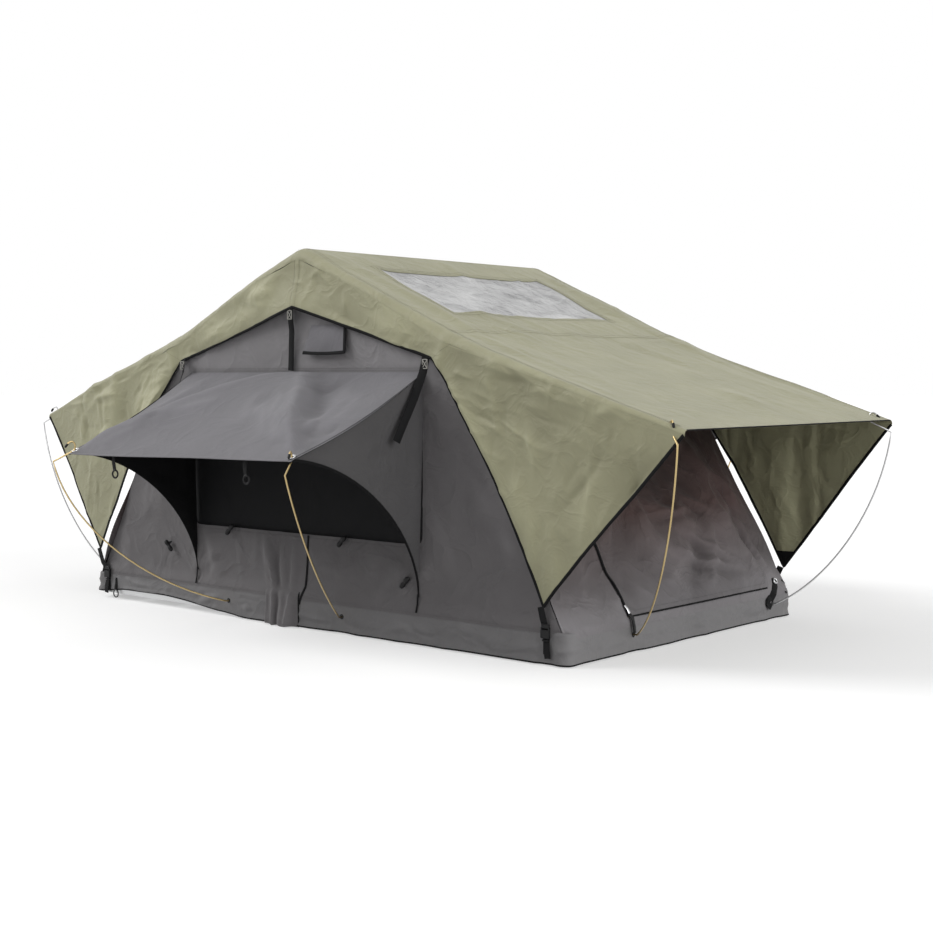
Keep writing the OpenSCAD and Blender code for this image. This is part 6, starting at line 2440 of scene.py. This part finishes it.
@dataclass
class SprungRods:
    """Sprung rods of one half: each leaves its socket, sweeps up and hooks into an eyelet."""

    shop: Workshop
    half: Half
    radius: float = 0.003
    stub: float = 0.016
    depth: float = 0.024
    crank: tuple[float, float] = (0.08, 0.052)
    leave: tuple[float, float] = (0.5, 0.16)
    reach: tuple[float, float] = (0.08, 0.42)
    steps: int = 7
    hook: tuple[tuple[float, float], ...] = ((0.007, -0.016), (0.001, -0.008), (0.0, 0.003), (0.003, 0.012),
        (0.012, 0.018), (0.023, 0.014), (0.03, 0.006))
    cap_length: float = 0.014
    cap_radius: float = 0.0045

    @staticmethod
    def routes() -> dict[str, RodRoute]:
        """The routes of the right half's rods, by name.

        Returns:
            A route for each rod's name.
        """
        return {
            "near_window": RodRoute((0.221, -0.71, 0.062), (0, -1, 0), (0.568, -1.27, 0.6643), 0.4),
            "far_window": RodRoute((0.39, 0.71, 0.062), (0, 1, 0), (0.568, 1.27, 0.6643)),
            "near_end": RodRoute((1.22, -0.347, 0.062), (1, 0, 0), (1.5625, -0.6567, 0.7665)),
            "far_end": RodRoute((1.22, 0.574, 0.062), (1, 0, 0), (1.5625, 0.6567, 0.7665)),
        }

    def path(self, route: RodRoute) -> tuple[Array, Array]:
        """A rod's middle line.

        Args:
            route: Its socket, eyelet and slack.

        Returns:
            The points of the rod and the plan direction from socket to eyelet.
        """
        up, flat = line(0, 0, 1), line(1, 1, 0)
        socket, out, eyelet = line(*route.socket), line(*route.out), line(*route.eyelet)
        away = (eyelet - socket) * flat
        away = away / np.linalg.norm(away)
        start = socket + out * self.stub
        knee = eyelet + away * self.crank[0] - up * self.crank[1]
        span, rise = np.linalg.norm((knee - start) * flat), knee[2] - start[2]
        third = (knee - start) / 3
        leave = away * span * self.leave[0] + up * rise * self.leave[1]
        reach = away * span * self.reach[0] + up * rise * self.reach[1]
        first = start + third + (leave - third) * route.slack
        last = knee - third - (reach - third) * route.slack
        t = (np.arange(self.steps * 3 + 1) / (self.steps * 3))[:, None]
        sweep = (1 - t) ** 3 * start + 3 * t * (1 - t) ** 2 * first
        sweep = sweep + 3 * t * t * (1 - t) * last + t ** 3 * knee
        bends = np.array([eyelet + away * o + up * u for o, u in self.hook])
        fine = [bends[0]]
        for i in range(len(bends) - 1):
            p0, p1, p2, p3 = (bends[min(max(i + k, 0), len(bends) - 1)] for k in (-1, 0, 1, 2))
            for s in (0.33, 0.66, 1.0):
                fine.append(0.5 * (2 * p1 + (p2 - p0) * s + (2 * p0 - 5 * p1 + 4 * p2 - p3) * s * s
                    + (3 * p1 - p0 - 3 * p2 + p3) * s ** 3))
        return np.concatenate([[socket - out * self.depth], sweep, np.array(fine)]), away

    def end_cap(self, path: Array, square: Array) -> Shell:
        """The moulded cap on a rod's tip.

        Args:
            path: The rod's points.
            square: Direction square to the rod's plane.

        Returns:
            The cap.
        """
        end = path[-1] - path[-2]
        end /= np.linalg.norm(end)
        stem = path[-1] + end * (np.array([-0.35, -0.33, 0.55, 0.65, 0.83])[:, None] * self.cap_length)
        return spindle(stem, np.array([0.7, 1.0, 1.0, 0.86, 0.4]) * self.cap_radius, square, 12)

    def build(self) -> None:
        """Builds the half's four rods with their end caps."""
        hand = self.half.label
        cloth = self.shop.wardrobe
        for name, route in self.routes().items():
            path, away = self.path(route)
            square = np.cross(away, line(0, 0, 1))
            cap, rod = self.end_cap(path, square), tube(path, self.radius, square, 10)
            socket = line(*route.socket)
            if self.half is Half.FOLDING:
                turn = line(-1, -1, 1)
                rod, cap, path, socket = rod.turned(), cap.turned(), path * turn, socket * turn
            kind = "window" if "window" in name else "end"
            gilt = kind == "window" or (name == "near_end" and self.half is Half.FIXED)
            finish, slot = (cloth.gold, "gold_steel") if gilt else (cloth.steel, "steel")
            obj = piece(f"{hand}_{name}_rod", (rod, finish), (cap, cloth.plastic))
            nodes = (f"{hand}_{kind}_rods", f"{hand}_rod_caps")
            Seat(self.half.body, slot, nodes, gathers=False).take(obj)
            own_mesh(obj)


class Hardware:
    """Finishes for the rigid pieces that come with the frame."""

    def __init__(self, shop: Workshop) -> None:
        """Sorts the rigid pieces by finish.

        Args:
            shop: What holds the finishes.
        """
        w = shop.wardrobe
        self.groups: dict[Material, tuple[str, ...]] = {
            w.alloy: ("fixed_frame", "folding_frame", "near_mounting_rail", "far_mounting_rail", "ridge_hoop",
                "right_hoop", "left_hoop", "fixed_hinge_plates", "folding_hinge_plates"),
            w.steel: ("rail_bolts", "fixed_plate_bolts", "folding_plate_bolts", "main_hinge_pins",
                "right_hoop_pins", "left_hoop_pins"),
            w.black_steel: ("hanging_ring",),
            w.plastic: ("rail_end_caps", "fixed_rod_sockets", "folding_rod_sockets", "ridge_hoop_ends",
                "right_hoop_ends", "left_hoop_ends", "left_hoop_spacers"),
            w.board: ("fixed_floor_panel", "folding_floor_panel"),
        }

    def build(self) -> None:
        """Puts the finishes on the frame's nodes."""
        for finish, names in self.groups.items():
            for name in names:
                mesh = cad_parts[name].data
                mesh.materials.clear()
                mesh.materials.append(finish)
                LOG.info("%s takes %s", name, finish.name)


@dataclass
class Studio:
    """Camera, soft light, pale floor and white surround."""

    place: tuple[float, float, float] = (4.082, -4.533, 0.916)
    yaw: float = math.radians(40.61)
    pitch: float = math.radians(3.367)
    lens: float = 59.17
    sensor: float = 36.0
    sky: tuple[float, float] = (0.22, 0.4)
    floor_reach: float = 60.0
    floor_tone: float = 0.72
    floor_glow: float = 0.42

    def camera(self) -> None:
        """Sets the camera at the photograph's angle."""
        data = bpy.data.cameras.new("camera")
        data.lens, data.sensor_width = self.lens, self.sensor
        data.clip_end = 200
        obj = bpy.data.objects.new("camera", data)
        obj.location = self.place
        ahead = Vector((-math.sin(self.yaw) * math.cos(self.pitch), math.cos(self.yaw) * math.cos(self.pitch),
            -math.sin(self.pitch)))
        obj.rotation_euler = ahead.to_track_quat("-Z", "Y").to_euler()
        bpy.context.scene.collection.objects.link(obj)
        bpy.context.scene.camera = obj

    @staticmethod
    def seen(g: Graph) -> bpy.types.NodeSocket:
        """1 for rays that show the background: camera, glossy and transmission rays.

        Args:
            g: Graph of the floor or the world.

        Returns:
            Socket with 1 or 0.
        """
        path = g.node("ShaderNodeLightPath")
        shine = g.math("MAXIMUM", path.outputs["Is Glossy Ray"], path.outputs["Is Transmission Ray"])
        return g.math("MAXIMUM", path.outputs["Is Camera Ray"], shine)

    def surround(self) -> None:
        """Lights the scene from a soft sky that shows as white."""
        world = bpy.data.worlds.new("studio")
        bpy.context.scene.world = world
        world.use_nodes = True
        g = Graph(world.node_tree)
        world.node_tree.nodes.clear()
        way = g.node("ShaderNodeSeparateXYZ", {0: g.node("ShaderNodeTexCoord").outputs["Generated"]})
        level, rise = self.sky
        sky = g.math("MULTIPLY_ADD", g.math("MAXIMUM", way.outputs[2], 0.0), rise, level)
        light = g.node("ShaderNodeBackground", {"Color": (1.0, 1.0, 1.0, 1.0), "Strength": sky})
        white = g.node("ShaderNodeBackground", {"Color": (1.0, 1.0, 1.0, 1.0), "Strength": 1.0})
        mixed = g.node("ShaderNodeMixShader", {0: self.seen(g), 1: light.outputs[0], 2: white.outputs[0]})
        g.node("ShaderNodeOutputWorld", {"Surface": mixed.outputs[0]})

    def lamps(self) -> None:
        """Adds two large soft lamps: the main one from the front left and a weaker one from the right."""
        for name, way, energy, angle in (("main_lamp", (0.78, 0.46, -0.62), 1.72, 30),
                ("fill_lamp", (-0.88, 0.12, -0.28), 1.3, 30)):
            data = bpy.data.lights.new(name, "SUN")
            data.energy, data.angle = energy, math.radians(angle)
            obj = bpy.data.objects.new(name, data)
            obj.rotation_euler = Vector(way).to_track_quat("-Z", "Y").to_euler()
            bpy.context.scene.collection.objects.link(obj)

    def floor(self) -> None:
        """Lays the pale floor, which keeps the tent's shadow."""
        mesh = bpy.data.meshes.new("floor")
        r = self.floor_reach
        mesh.from_pydata([(-r, -r, 0), (r, -r, 0), (r, r, 0), (-r, r, 0)], [], [(0, 1, 2, 3)])
        obj = bpy.data.objects.new("floor", mesh)
        bpy.context.scene.collection.objects.link(obj)
        material = bpy.data.materials.new("pale_floor")
        material.use_nodes = True
        g = Graph(material.node_tree)
        material.node_tree.nodes.clear()
        matt = g.node("ShaderNodeBsdfDiffuse", {"Color": (*[self.floor_tone] * 3, 1.0)})
        level = g.math("MULTIPLY", self.seen(g), self.floor_glow)
        glow = g.node("ShaderNodeEmission", {"Color": (1.0, 1.0, 1.0, 1.0), "Strength": level})
        both = g.node("ShaderNodeAddShader", {0: matt.outputs[0], 1: glow.outputs[0]})
        g.node("ShaderNodeOutputMaterial", {"Surface": both.outputs[0]})
        mesh.materials.append(material)

    def build(self) -> None:
        """Sets the whole studio."""
        self.camera()
        self.surround()
        self.lamps()
        self.floor()
        bpy.context.scene.view_settings.view_transform = "Standard"


def main() -> None:
    """Builds the tent's cloth and trim in order."""
    logging.basicConfig(level=logging.INFO, format="%(name)s: %(message)s")
    Studio().build()
    shop = Workshop(Wardrobe(), LineRepeater(), EyeletSet())
    Hardware(shop).build()
    for half in Half:
        SprungRods(shop, half).build()
    Fly(shop).build()
    CanvasBody(shop).build()
    for side in Side:
        WindowHood(shop, side).build()
        VentHood(shop, side).build()
    for half in Half:
        BaseHalf(shop, half).build()
    HingeTrim(shop).build()


if __name__ == "__main__":
    main()
